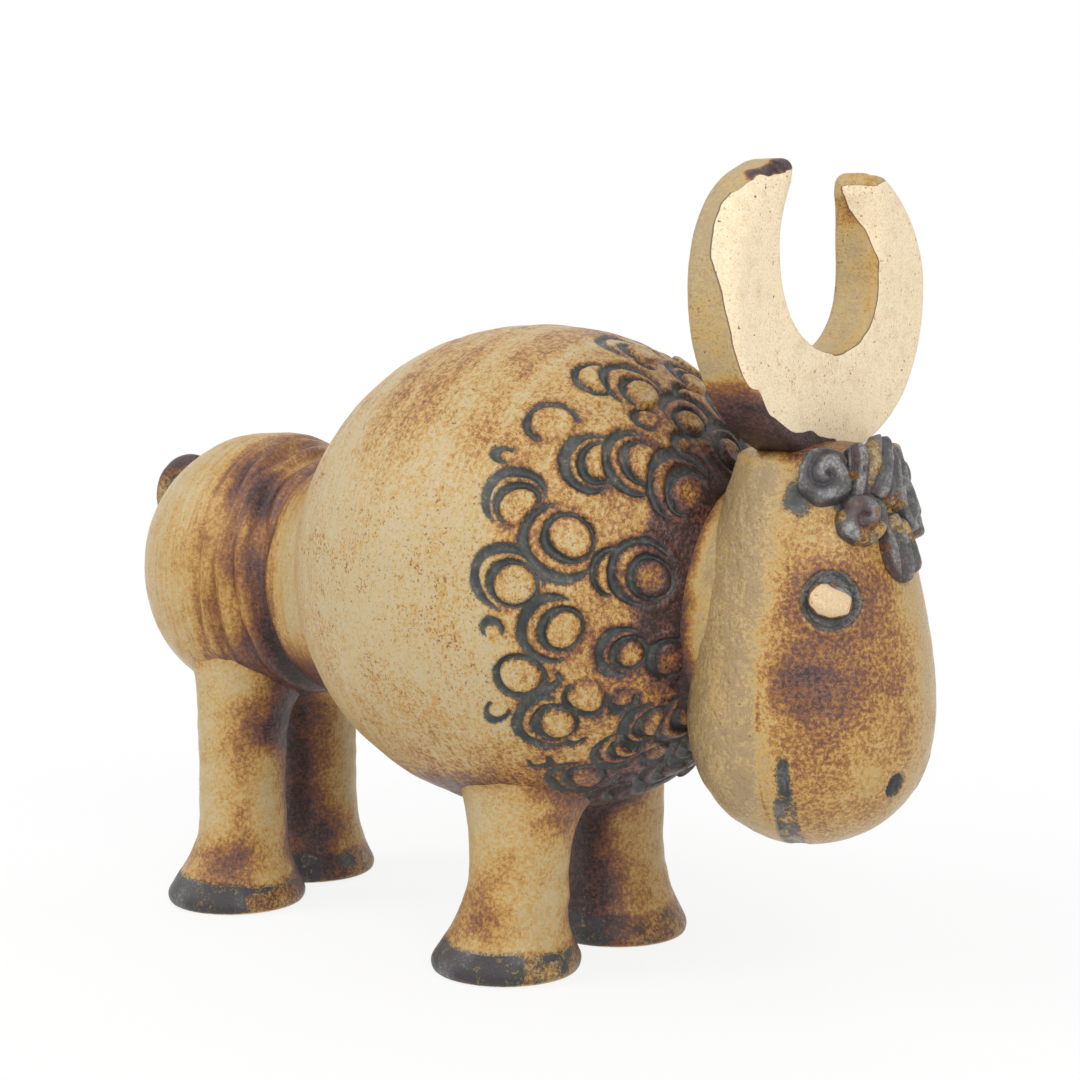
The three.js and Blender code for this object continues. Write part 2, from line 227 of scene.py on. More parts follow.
def settle(piece, node, material):
    # millimetres to metres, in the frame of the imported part, standing in for its node
    pick(piece)
    piece.scale = (mm, mm, mm)
    piece.location = (barrelMiddle, 0, 0)
    bpy.ops.object.transform_apply(location=True, rotation=True, scale=True)
    bpy.ops.object.shade_smooth()
    piece.data.materials.clear()
    piece.data.materials.append(material)
    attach(piece, "root")
    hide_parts(node)
    print(node, len(piece.data.polygons), "faces")


# Glaze recipe: one way of layering colours, with the amounts set for each piece

def addNode(tree, kind, inputs=None, **options):
    made = tree.nodes.new(kind)
    for key, value in options.items():
        setattr(made, key, value)
    for key, value in (inputs or {}).items():
        socket = made.inputs[key]
        if isinstance(value, bpy.types.NodeSocket):
            tree.links.new(value, socket)
        else:
            socket.default_value = value
    return made


def mixColours(tree, amount, first, second):
    # each colour comes from another node, as a value, or as the name of a fired colour
    first, second = (colour(tone) if isinstance(tone, str) else tone for tone in (first, second))
    return addNode(tree, "ShaderNodeMix", {0: amount, 6: first, 7: second}, data_type="RGBA").outputs[2]


def mixValues(tree, amount, first, second):
    return addNode(tree, "ShaderNodeMix", {0: amount, 2: first, 3: second}).outputs[0]


def maths(tree, kind, first, *others):
    for other in others:
        first = addNode(tree, "ShaderNodeMath", {0: first, 1: other}, operation=kind).outputs[0]
    return first


def plus(tree, *values):
    return maths(tree, "ADD", *values)


def times(tree, *values):
    return maths(tree, "MULTIPLY", *values)


def stretch(tree, value, low, high, out=(0.0, 1.0)):
    spread = addNode(tree, "ShaderNodeMapRange", {
        "Value": value, "From Min": low, "From Max": high, "To Min": out[0], "To Max": out[1],
    }, interpolation_type="SMOOTHSTEP")
    return spread.outputs[0]


def grain(tree, where, size, detail=2.0, squash=(1, 1, 1), roughness=0.5):
    # noise with features about one size apart, in millimetres
    turned = addNode(tree, "ShaderNodeVectorMath", {0: where, 1: tuple(1 / (size * mm * s) for s in squash)},
                     operation="MULTIPLY")
    noise = addNode(tree, "ShaderNodeTexNoise", {
        "Vector": turned.outputs[0], "Scale": 1.0, "Detail": detail, "Roughness": roughness,
    })
    return noise.outputs["Fac"]


def sway(tree, noise, amount):
    # noise round nought, up to about a quarter of the amount either way
    return times(tree, maths(tree, "SUBTRACT", noise, 0.5), amount)


def layer(tree, name):
    return addNode(tree, "ShaderNodeAttribute", attribute_name=name).outputs["Fac"]


usualGlaze = {
    "cloudSize": 10,            # in millimetres
    "patchAmount": 0.4,         # how far patches and dots move the iron up and down
    "dotAmount": 0.2,
    "dotSquash": (1, 1, 1),
    "palest": "khaki",
    "speckle": 0.4,
    "pitShare": 0.71,           # a lower share gives more dark dots
    "clay": "clay",
    "slipRagged": 0.6,
    "slipDark": "ink",
    "slipLight": "slate",
    "slipPlum": 0.0,
    "slipFlecks": 0.3,
    "slipRoughness": 0.4,
    "ringRelief": 1.0,
    "bumpHeight": 0.17,
    # from the palest tone, named above, to the one with the most iron
    "tones": ("straw", "gold", "ochre", "rust", "plum", "umber"),
    "toneSteps": (0.0, 0.2, 0.36, 0.52, 0.68, 0.84, 1.0),
    "bareRoughness": 0.92,
    "specular": 0.45,
}


def glaze(name, changes):
    mix = usualGlaze | changes
    material = bpy.data.materials.new(name)
    material.use_nodes = True
    tree = material.node_tree
    shader = tree.nodes["Principled BSDF"]
    where = addNode(tree, "ShaderNodeTexCoord").outputs["Object"]
    squash = mix["dotSquash"]
    cloud = grain(tree, where, mix["cloudSize"], 3)
    patch = grain(tree, where, 3.0, 4, roughness=0.6)
    dots = stretch(tree, grain(tree, where, 0.8, 4, squash, 0.75), 0.38, 0.62)
    fine = grain(tree, where, 0.4, 2)

    # iron in the glaze runs from pale khaki through ochre to plum, and always breaks into dots;
    # where fingers dabbed the clay it gathers in the dents
    iron = plus(tree, layer(tree, "iron"), sway(tree, cloud, 0.35),
                sway(tree, patch, mix["patchAmount"]), sway(tree, dots, mix["dotAmount"]))
    if "ringSquash" in mix:
        rings = grain(tree, where, 1.0, 4, mix["ringSquash"], 0.65)
        iron = plus(tree, iron, sway(tree, rings, mix["ringAmount"]))
    if "dabDarker" in mix:
        dabs = times(tree, stretch(tree, grain(tree, where, 2.5, 2), 0.6, 0.38), layer(tree, "dabbed"))
        iron = plus(tree, iron, times(tree, dabs, mix["dabDarker"]))
    ramp = addNode(tree, "ShaderNodeValToRGB", {"Fac": iron})
    steps = ramp.color_ramp.elements
    while len(steps) < len(mix["toneSteps"]):
        steps.new(0.5)
    for step, place, tone in zip(steps, mix["toneSteps"], (mix["palest"],) + mix["tones"]):
        step.position = place
        step.color = colour(tone)
    body = ramp.outputs["Color"]

    # fine rusty specks, thicker in some places, and a few dark ones that leave a pit
    loose = plus(tree, grain(tree, where, 0.5, 2, squash), sway(tree, cloud, 0.3))
    thick = stretch(tree, iron, 0.75, 0.45, (0.15, mix["speckle"]))
    small = times(tree, stretch(tree, loose, 0.58, 0.68), thick)
    rusty = mixColours(tree, stretch(tree, patch, 0.46, 0.64), "tan", "rust")
    body = mixColours(tree, small, body, rusty)
    big = stretch(tree, grain(tree, where, 1.0, 2, squash), mix["pitShare"], 0.76)
    body = mixColours(tree, times(tree, big, 0.7), body, "rust")

    # bare clay with dark grog, and a thin rusty line where the glaze stops
    bare = plus(tree, layer(tree, "bare"), sway(tree, patch, 0.25))
    edge = times(tree, stretch(tree, bare, 0.3, 0.46), stretch(tree, bare, 0.62, 0.5))
    bareAmount = stretch(tree, bare, 0.5, 0.56)
    clay = mixColours(tree, stretch(tree, fine, 0.42, 0.7), mix["clay"], "grit")
    clay = mixColours(tree, stretch(tree, patch, 0.46, 0.7, (0.0, 0.32)), clay, "biscuit")
    grog = times(tree, stretch(tree, loose, 0.66, 0.74), 0.75)
    clay = mixColours(tree, grog, clay, "ochre")
    clay = mixColours(tree, times(tree, big, 0.9), clay, "rust")
    body = mixColours(tree, times(tree, edge, 0.85), body, "plum")
    body = mixColours(tree, bareAmount, body, clay)

    # slip, brushed or run into the cuts, with a dark rusty rim
    ragged = mix["slipRagged"]
    slip = plus(tree, layer(tree, "slip"), sway(tree, patch, ragged * 1.2), sway(tree, fine, ragged * 0.9))
    speckled = stretch(tree, dots, 0.0, 0.8, (0.4, 1.0))
    rim = times(tree, stretch(tree, slip, -0.95, -0.15, (0.0, 0.8)), speckled)
    body = mixColours(tree, rim, body, "umber")
    slipAmount = stretch(tree, slip, -0.15, 0.15, (0.0, 0.97))
    tone = mixColours(tree, stretch(tree, patch, 0.38, 0.66), mix["slipDark"], mix["slipLight"])
    blush = stretch(tree, cloud, 0.5, 0.66, (0.0, mix["slipPlum"]))
    tone = mixColours(tree, blush, tone, "plum")
    flecks = times(tree, dots, patch)
    flecks = stretch(tree, flecks, 0.42, 0.62, (0.0, mix["slipFlecks"]))
    tone = mixColours(tree, flecks, tone, "gold")
    worn = times(tree, layer(tree, "worn"), stretch(tree, dots, 0.2, 0.9, (0.3, 1.0)))
    tone = mixColours(tree, worn, tone, "ash")
    body = mixColours(tree, slipAmount, body, tone)
    tree.links.new(body, shader.inputs["Base Color"])

    # satin where glazed, dry where bare
    sheen = stretch(tree, patch, 0.3, 0.7, (mix["roughness"] - 0.06, mix["roughness"] + 0.08))
    dry = mixValues(tree, bareAmount, sheen, mix["bareRoughness"])
    wet = mixValues(tree, slipAmount, dry, mix["slipRoughness"])
    tree.links.new(wet, shader.inputs["Roughness"])
    shader.inputs["Specular IOR Level"].default_value = mix["specular"]

    # the surface: sandy grain, pits at the dark dots, finger rings, slip a little proud
    relief = plus(tree, times(tree, fine, 0.5), times(tree, dots, 0.3))
    relief = maths(tree, "SUBTRACT", relief, times(tree, big, 0.5))
    if "ringSquash" in mix:
        relief = plus(tree, relief, times(tree, rings, mix["ringRelief"]))
    if "dabDarker" in mix:
        relief = maths(tree, "SUBTRACT", relief, times(tree, dabs, 1.2))
    bump = addNode(tree, "ShaderNodeBump", {
        "Height": relief, "Distance": mix["bumpHeight"] * mm, "Strength": 0.8,
    })
    tree.links.new(bump.outputs["Normal"], shader.inputs["Normal"])
    return material


# Barrel: a thrown ball with an incised woolly mane

barrel = {
    "radius": 50.0,
    "halfLength": 52.4,
    "height": 80.1,
    "steps": 312,
    "rings": ((0, 24, 10), (24, 72, 52), (72, 180, 87)),    # from and to in degrees, and how many
    "maneReach": 65.5,      # degrees from the front pole to the edge of the mane
    "maneHigh": 2.0,        # it reaches further over the top
    # rows of locks, from the neck out: reach in degrees, how many, ring size
    "rows": ((28.5, 9, 4.3), (38.0, 11, 3.7), (48.0, 14, 3.8), (58.5, 17, 4.1)),
    "ringCut": 0.68,
    "crescentCut": 1.0,
    "cutDepth": 0.75,
    "lockReach": 0.26,      # radians: how far from its middle a lock can be
    "strokeChance": 0.75,
    "fineFrom": 17.0,       # the mesh is finer from here on, except within this radius round the neck
    "fineOutside": 20.6,
    "seed": 12,
}


def onBarrel(turn, reach):
    # unit direction: turn round the X axis from the top, reach in degrees from the front pole
    turn, reach = np.radians(turn), np.radians(reach)
    return np.array([np.cos(reach), -np.sin(reach) * np.sin(turn), np.sin(reach) * np.cos(turn)])


def maneLocks():
    # rings with a crescent on the side away from the neck, the ones nearest the neck lying on top
    s = barrel
    chance = np.random.default_rng(s["seed"])
    locks, strokes = [], []
    for row, (reach, count, ring) in enumerate(s["rows"]):
        for i in range(count):
            turn = (i + 0.37 * row + chance.uniform(-0.15, 0.15)) * 360 / count
            place = reach + s["maneHigh"] * row / 3 * math.cos(math.radians(turn)) + chance.uniform(-2.0, 2.0)
            locks.append({
                "middle": onBarrel(turn, place),
                "back": onBarrel(turn, place + 90),
                "ring": ring * chance.uniform(0.84, 1.16),
                "sway": chance.uniform(-50, 50),
                "crescent": chance.uniform(2.0, 3.1) * (chance.uniform() < 0.84),
                "oval": chance.uniform(0.88, 1.12),
                "open": chance.uniform(0, 1),
            })
            between = turn + chance.uniform(0.4, 0.6) * 360 / count
            strokes.append({
                "middle": onBarrel(between, place + chance.uniform(4, 9)),
                "back": onBarrel(between, place + 96),
                "ring": chance.uniform(1.7, 2.7),
                "sway": chance.uniform(-90, 90),
                "crescent": 0,
                "oval": chance.uniform(0.8, 1.3),
                "open": 1,
            })
    return locks + [stroke for stroke in strokes if chance.uniform() < s["strokeChance"]]


def carveMane(points):
    # distance to the nearest cut line, its half width, and how far up inside a ring a point lies
    s = barrel
    wobble = np.column_stack([lumps(points, 6, seed) for seed in (3, 4, 5)]) * 0.5
    unit = unitRows((points + wobble - (0, 0, s["height"])) / (s["halfLength"], s["radius"], s["radius"]))
    gap = np.full(len(points), farAway)
    width = np.full(len(points), s["ringCut"])
    dome = np.zeros(len(points))
    covered = np.zeros(len(points), dtype=bool)
    for lock in maneLocks():
        near = np.nonzero((unit @ lock["middle"] > math.cos(s["lockReach"])) & ~covered)[0]
        if len(near) == 0:
            continue
        sideways = np.cross(lock["middle"], lock["back"])
        lean = math.radians(lock["sway"])
        back = lock["back"] * math.cos(lean) + sideways * math.sin(lean)
        side = np.cross(lock["middle"], back)
        along = unit[near] @ back * s["radius"]
        across = unit[near] @ side * s["radius"] * lock["oval"]
        away = np.hypot(along, across)
        facing = along / np.maximum(away, 0.01)
        ringGap = np.abs(away - lock["ring"])
        ringWidth = s["ringCut"] * (0.62 + 0.75 * np.clip(facing, 0, 1) ** 1.5)
        if lock["open"] > 0.6:
            ringWidth = ringWidth * ease(facing, -0.8, -0.2)
        outer = lock["ring"] + lock["crescent"] * 0.75
        crescentReach = np.hypot(along - lock["crescent"] * 0.62, across)
        crescentGap = np.abs(crescentReach - outer)
        crescentWidth = s["crescentCut"] * ease(facing, -0.5, 0.95)
        if lock["crescent"] == 0:
            crescentWidth = crescentWidth * 0
        ringWidth, crescentWidth = np.maximum(ringWidth, 0.03), np.maximum(crescentWidth, 0.03)
        onCrescent = crescentGap - crescentWidth < ringGap - ringWidth
        ownGap = np.where(onCrescent, crescentGap, ringGap)
        ownWidth = np.where(onCrescent, crescentWidth, ringWidth)
        better = ownGap - ownWidth < gap[near] - width[near]
        gap[near] = np.where(better, ownGap, gap[near])
        width[near] = np.where(better, ownWidth, width[near])
        if lock["ring"] > 3:
            dome[near] = np.maximum(dome[near], np.clip(1 - away / lock["ring"], 0, 1))
            covered[near] |= crescentReach < outer - 0.2
    return gap, width, dome


def makeBarrel():
    s = barrel
    reaches = [np.linspace(low, high, count + 1)[:-1] for low, high, count in s["rings"]]
    reaches = np.radians(np.append(np.concatenate(reaches), 180))
    profile = [(s["radius"] * math.sin(a), s["halfLength"] * math.cos(a)) for a in reaches]
    piece = throwOnWheel("barrel_body", profile, "X", s["steps"])
    setPoints(piece, getPoints(piece) + (0, 0, s["height"]))
    refine(piece, lambda p: (p[:, 0] > s["fineFrom"])
           & (np.hypot(p[:, 1], p[:, 2] - s["height"]) > s["fineOutside"]))
    points = getPoints(piece)
    fromAxis = points - (0, 0, s["height"])
    out = unitRows(fromAxis / np.array([s["halfLength"], s["radius"], s["radius"]]) ** 2)
    reach = np.degrees(np.arccos(np.clip(fromAxis[:, 0] / s["halfLength"], -1, 1)))
    turn = np.arctan2(-fromAxis[:, 1], fromAxis[:, 2])
    inMane = ease(s["maneReach"] + s["maneHigh"] * np.cos(turn) - reach, -2, 4)

    gap, width, dome = carveMane(points)
    width = width * (1 + 0.3 * lumps(points, 4, 8))
    cut = np.clip(1 - (gap / np.maximum(width, 0.02)) ** 2, 0, 1) ** 0.5 * ease(width, 0.05, 0.5)
    lift = -s["cutDepth"] * cut * (0.9 + 0.25 * lumps(points, 9, 9))
    lift += 0.9 * np.sqrt(1 - (1 - dome) ** 2) * (1 - cut)
    lift += 0.35 * bell(gap - width - 0.9, 0.8) * inMane
    lift += 0.35 * lumps(points, 34, 6) + 0.15 * lumps(points, 9, 7)
    lift += 0.1 * lumps(points * (1, 0.05, 0.05), 1.6, 11) * (1 - 0.8 * inMane)
    bands = lumps(points * (1, 0.05, 0.05) + (0, 0, 3), 3.4, 12)
    lift += 0.18 * bands * (1 - 0.8 * inMane)
    lift *= ease(reach, 20, 27)
    setPoints(piece, points + out * lift[:, None])

    # more iron over the top and round the cuts; darker low down and most of all by the neck, partly the glaze
    # and partly painted shade under the belly and where the neck meets the barrel
    x, z = points[:, 0], points[:, 2]
    # low: darker towards the belly, partly the glaze and partly painted shade
    low = ease(s["height"] - z, 14, 42)
    # nearNeck: plum glaze by the neck, deepened with painted shade where the neck meets the barrel
    nearNeck = ease(-reach + 3 * lumps(points, 9, 18), -37, -27)
    halo = bell(np.maximum(gap - width, 0), 0.8) * inMane
    iron = 0.1 + 0.1 * lumps(points, 22, 13) + 0.24 * low * ease(x, -40, 4)
    iron += (0.2 + 0.36 * bands) * ease(z, 92, 122) * (1 - 0.6 * inMane)
    iron += inMane * (0.16 - 0.12 * np.sqrt(dome) + 0.1 * lumps(points, 7, 15)) + 0.26 * halo
    iron += 0.2 * ease(reach, 54, 38) * inMane
    # by the neck: plum glaze and painted shade, lighter on the lock domes
    iron += 0.9 * nearNeck * (1 - 0.62 * np.sqrt(dome)) * (1 + 0.25 * lumps(points, 8, 14))
    # dark under the belly below about 38 mm: partly the glaze and partly painted shade
    iron += 0.54 * ease(0.1 * x - z, -46.5, -38) * ease(x, -24, -6) * (0.9 + 0.3 * lumps(points, 14, 17))
    line = np.clip((0.95 * width - gap) / 0.42, -1, 1)
    paint(piece, iron=np.clip(iron, 0, 1), slip=np.where(width > 0.12, line, -1), bare=0,
          worn=np.clip(0.3 * lumps(points, 6, 16), 0, 0.25))
    look = glaze("barrelGlaze", {
        "roughness": 0.38, "ringSquash": (1.0, 22, 22), "ringAmount": 0.6, "ringRelief": 2.0,
        "dotAmount": 0.38, "patchAmount": 0.42, "dotSquash": (1, 1.15, 1.15), "speckle": 1.0,
        "pitShare": 0.67, "slipRagged": 0.3,
    })
    settle(piece, "barrel", look)


# Rump: thrown smaller, twisted and wrinkled at the waist

rump = {
    "middle": (-77.2, 0, 74.6),
    "radius": 30.2,
    "halfLength": 27.6,
    "steps": 230,
    "rings": 190,
    "waist": ((27.6, 12.1), (25.6, 18.4), (26.4, 25), (28.2, 31), (29.4, 36), (26, 40), (0, 41)),
    # place along X, slant, depth, width
    "creases": ((17.6, 3.0, 2.6, 1.8), (12.2, 2.2, 1.9, 1.3), (8.0, 1.2, 1.2, 1.1), (22.4, -1.8, 0.9, 1.3),
                (3.6, 2.2, 0.5, 1.1)),
}


def makeRump():
    s = rump
    back = [(s["radius"] * math.cos(a), s["halfLength"] * math.sin(a))
            for a in np.radians(np.arange(-90, 13, 6))]
    profile = smoothLine(back + list(s["waist"]), s["rings"])
    profile[0, 0] = profile[-1, 0] = 0
    profile[:, 0] = np.maximum(profile[:, 0], 0)
    piece = throwOnWheel("rump_body", profile, "X", s["steps"])
    points = getPoints(piece)
    out = getPoints(piece, "normal")
    x, y, z = points.T
    turn = np.arctan2(-y, z)
    radius = np.hypot(y, z)
    lift = 0.3 * lumps(points, 22, 21) + 0.14 * lumps(points, 7, 22)
    crease = np.zeros(len(points))
    for i, (place, slant, depth, width) in enumerate(s["creases"]):
        middle = place + slant * np.sin(turn - 1.2 + 0.5 * i) + 1.3 * lumps(points, 12, 23 + i)
        strength = depth * np.clip(0.75 + 0.55 * lumps(points, 12, 33 + i) + 0.3 * np.sin(turn), 0, 1.5)
        strength *= 1 - 0.92 * ease(-z, 11, 19) * ease(17 - middle, 0, 2)
        lift -= bell(x - middle, width) * strength
        lift += 0.55 * bell(x - middle + 2.2 * width, width * 1.1) * strength
        crease += bell(x - middle, width * 1.25) * strength
    lift += 0.09 * lumps(points * (1, 0.05, 0.05), 1.5, 42) + 0.12 * lumps(points * (1, 0.08, 0.08), 4, 41)
    lift *= ease(radius, 2, 8)
    setPoints(piece, points + out * lift[:, None] + s["middle"])

    waist = bell(x - 17, 10)
    patchy = np.clip(0.75 + 0.75 * lumps(points, 11, 44), 0, 1.3)
    iron = 0.2 + 0.12 * lumps(points, 13, 43) + 0.1 * ease(x, -12, 6) - 0.08 * ease(-x, 14, 26)
    iron += 0.32 * np.clip(crease, 0, 1.6) * patchy + 0.16 * waist * patchy
    iron += 0.14 * bell(x - 23, 5) + 0.12 * ease(z, 14, 27) * ease(x, -4, 14)
    iron += 0.46 * ease(-z, 8, 20) * ease(x, -5, 10)
    iron -= 0.1 * bell(x - 31, 7) * ease(z, -20, -6) * ease(z, 26, 14)
    paint(piece, iron=np.clip(iron, 0, 1), slip=-1, bare=0, worn=0)
    look = glaze("rumpGlaze", {
        "roughness": 0.32, "ringSquash": (1.1, 16, 16), "ringAmount": 0.75, "ringRelief": 1.3,
        "dotAmount": 0.2, "patchAmount": 0.3,
    })
    settle(piece, "rump", look)


# Head: an upright thrown egg with a pressed face

head = {
    "x": 65.2,
    "radius": 23.6,
    "wideHeight": 58.0,
    "bottom": 32.0,
    "top": 108.9,
    "shoulderHeight": 105.4,
    "shoulder": 14.3,
    "steps": 170,
    "rings": 150,
    "faceTurn": -8.0,           # degrees: the face looks a little to the animal's left
    "eye": (56.5, 81.3),        # turn from the middle of the face in degrees, height
    "eyeRing": 5.15,
    "eyeDepth": 1.5,
    "nostril": (19.8, 46.2),
    "nostrilSize": (1.95, 2.35),
    "mouthTurn": 78.8,
    "mouthTop": 52.2,
}


def headRadiusAt(height):
    s = head
    height = np.asarray(height, dtype=float)
    drop = np.clip((s["wideHeight"] - height) / (s["wideHeight"] - s["bottom"]), 0, 1)
    rise = np.clip((height - s["wideHeight"]) / (s["shoulderHeight"] - s["wideHeight"]), 0, 1)
    crown = np.clip((height - s["shoulderHeight"]) / (s["top"] - s["shoulderHeight"]), 0, 1)
    muzzle = s["radius"] * (1 - drop ** 2.3) ** (1 / 2.1)
    cheek = s["radius"] - (s["radius"] - s["shoulder"]) * rise ** 1.75
    top = s["shoulder"] * np.sqrt(1 - crown ** 2)
    return np.where(height <= s["wideHeight"], muzzle, np.where(height <= s["shoulderHeight"], cheek, top))


def onHead(turn, height, lift=0.0):
    turn = np.radians(turn)
    radius = headRadiusAt(height) + lift
    return np.array([head["x"] + radius * np.cos(turn), -radius * np.sin(turn), height + 0 * radius]).T


def onFace(side, place, lift=0.0):
    # the same place on the right (1) or left (-1) of the face
    return onHead(head["faceTurn"] + side * place[0], place[1], lift)


def toFace(points, place):
    # distance to the nearer of the two matching places on the face
    return np.minimum(*[np.linalg.norm(points - onFace(side, place), axis=1) for side in (1, -1)])


def faceTurnOf(points):
    # degrees round the head from the middle of the face, minus towards the left
    turn = np.degrees(np.arctan2(-points[:, 1], points[:, 0] - head["x"])) - head["faceTurn"]
    return (turn + 180) % 360 - 180


def makeHead():
    s = head
    shares = (1 - np.cos(np.linspace(0, math.pi, s["rings"] + 1))) / 2
    heights = s["bottom"] + (s["top"] - s["bottom"]) * shares
    piece = throwOnWheel("head_body", [(float(headRadiusAt(h)), h) for h in heights], "Z", s["steps"])
    setPoints(piece, getPoints(piece) + (s["x"], 0, 0))
    refine(piece, lambda p: (toFace(p, s["eye"]) < 12) | (toFace(p, s["nostril"]) < 6)
           | (np.abs(np.abs(faceTurnOf(p)) - s["mouthTurn"]) < 11) & (p[:, 2] < 56))
    refine(piece, lambda p: (toFace(p, s["eye"]) < 9) | (toFace(p, s["nostril"]) < 4.5))
    points = getPoints(piece)
    out = getPoints(piece, "normal")
    z = points[:, 2]
    turn = faceTurnOf(points)
    sideTurn = np.abs(turn)
    radius = np.hypot(points[:, 0] - s["x"], points[:, 1])

    # eye: a lip pushed up round a pressed ring
    eyes = toFace(points, s["eye"]) + 0.3 * lumps(points, 4, 51)
    lift = -s["eyeDepth"] * ease(-eyes, -s["eyeRing"] - 0.4, -s["eyeRing"] + 0.8)
    lift += 0.6 * bell(eyes - s["eyeRing"] - 0.9, 0.8) + 0.25 * bell(eyes - s["eyeRing"] - 2.6, 2)

    # nostrils
    pit = np.full(len(points), farAway)
    for side in (1, -1):
        across = (turn - side * s["nostril"][0]) * np.radians(1) * radius
        up = z - s["nostril"][1]
        own = np.hypot(across / s["nostrilSize"][0], up / s["nostrilSize"][1])
        pit = np.minimum(pit, np.where(points[:, 0] > s["x"], own, farAway))
    lift -= 1.6 * np.clip(1 - pit ** 2, 0, 1) ** 0.6
    lift += 0.15 * bell(pit - 1.4, 0.35)

    # mouth: a short wide cut that runs on as a shallow groove under the muzzle
    lean = s["mouthTurn"] + 3.2 * ease(z, 42, 34)
    mouthGap = np.abs((sideTurn - lean) * np.radians(1) * radius + 0.25 * lumps(points, 6, 52))
    mouthWidth = 1.15 + 0.75 * ease(z, 45.5, 43)
    end = ease(s["mouthTop"] - z, -0.4, 1.2)
    mouth = np.clip(1 - (mouthGap / mouthWidth) ** 2, 0, 1) * end * ease(radius, 3, 6)
    lift -= mouth * (1.1 - 0.65 * ease(z, 46, 43))

    # fingers have dabbed the back, and the front is smoother
    rear = ease(sideTurn, 86, 100)
    lift += 0.32 * lumps(points, 24, 53) + (0.04 + 0.12 * rear) * lumps(points, 2.6, 54)
    lift += (0.05 + 0.08 * rear) * lumps(points, 6, 50)
    lift += 0.05 * lumps(points * (0.06, 0.06, 1), 1.5, 55)
    lift *= ease(radius, 0.5, 3)
    setPoints(piece, points + out * lift[:, None])

    # colour: the palest tone at the back, a darker khaki that is painted shade, speckled gold in front, plum
    # over cheek and brow, less on the left cheek
    front = ease(-sideTurn - 3 * lumps(points, 6, 63), -99, -80)
    cheek = np.exp(-((sideTurn - 60) / 33) ** 2 - ((z - 64) / 15) ** 2)
    cheek *= 0.4 + 0.6 * ease(turn, -35, 5)
    brow = np.exp(-((sideTurn - 42) / 24) ** 2 - ((z - 84) / 12) ** 2)
    marks = rear * (0.02 + 0.08 * lumps(points, 4.5, 66) + 0.1 * lumps(points * (1, 1, 0.12), 2.4, 67))
    iron = 0.09 - 0.15 * rear + 0.1 * lumps(points, 10, 56) + marks
    iron += front * (0.13 + 0.1 * lumps(points, 8, 57))
    iron += front * (0.52 * cheek + 0.34 * brow + 0.05 * ease(z, 56, 42) + 0.1 * bell(eyes - 7, 2.2))
    iron += 0.05 * front * (ease(sideTurn, 26, 60) + ease(sideTurn, 34, 24))
    iron += 0.35 * bell(sideTurn - 90.5, 0.9) * ease(lumps(points, 5, 61), -0.5, 0.3) * ease(z, 92, 84)
    iron += 0.2 * rear * ease(z, 46, 36) + 0.4 * ease(z, 103.5, 107.5)
    ringSlip = (1.0 - np.abs(eyes - s["eyeRing"] + 0.75)) / 0.8
    nostrilSlip = (1.02 - pit) * 3.0
    throat = ease(z, 45.5, 43.8)
    mouthSlip = (mouthWidth * 0.95 - mouthGap) / 0.7 - 2 * (1 - end)
    edges = np.minimum(1.4 * (mouthWidth - mouthGap), 0.05 + 0.9 * lumps(points, 1.7, 64))
    mouthSlip = mouthSlip * (1 - throat) + edges * throat
    smear = (3.4 - np.linalg.norm(points - onHead(62, 100.6), axis=1)) / 2.6 + 1.5 * lumps(points, 2.6, 65)
    slip = np.maximum.reduce([ringSlip, nostrilSlip, mouthSlip, np.where(points[:, 1] < 0, smear, -1)])
    worn = 0.2 + 0.5 * lumps(points, 3, 62) + 0.5 * bell(eyes - s["eyeRing"], 0.8)
    paint(piece, iron=np.clip(iron, -0.15, 1), slip=np.clip(slip, -1, 1), bare=0, worn=np.clip(worn, 0, 0.8),
          dabbed=rear * ease(z, 36, 42) * ease(z, 104, 98))
    # the palest tone on the head is painted shade at the back
    look = glaze("headGlaze", {
        "roughness": 0.26, "ringSquash": (16, 16, 1.1), "ringAmount": 0.25, "ringRelief": 0.4,
        "dotAmount": 0.32, "patchAmount": 0.3, "palest": "shadedKhaki", "speckle": 0.4, "dabDarker": 0.08,
    })
    settle(piece, "head", look)


# Neck: an oval tube, seen as a strip between mane and head, coloured with painted shade

neck = {"halfWidth": 18.8, "halfHeight": 24.0, "height": 75.0, "from": 38.0, "to": 57.4}


def makeNeck():
    s = neck
    profile = [(0, s["from"])] + [(1, x) for x in np.linspace(s["from"], s["to"], 40)] + [(0, s["to"])]
    piece = throwOnWheel("neck_tube", profile, "X", 160)
    points = getPoints(piece)
    spread = 1 + 0.06 * bell(points[:, 0] - s["from"] - 6, 4)
    points[:, 1] *= s["halfWidth"] * spread
    points[:, 2] *= s["halfHeight"] * spread
    points += 0.35 * np.column_stack([lumps(points, 8, seed) for seed in (71, 72, 73)])
    setPoints(piece, points + (0, 0, s["height"]))
    # painted shade: darkest at the back where the neck meets the barrel, a darker khaki over the rest
    back = ease(-points[:, 0], -53, -46)
    iron = 0.1 + 0.9 * back + 0.2 * lumps(points, 5, 75)
    paint(piece, iron=np.clip(iron, 0, 1), slip=-1, bare=0, worn=0)
    settle(piece, "neck", glaze("neckGlaze", {"roughness": 0.6, "palest": "shadedKhaki"}))


# Horns: a crescent cut from a slab, the face left bare and the edges rubbed round

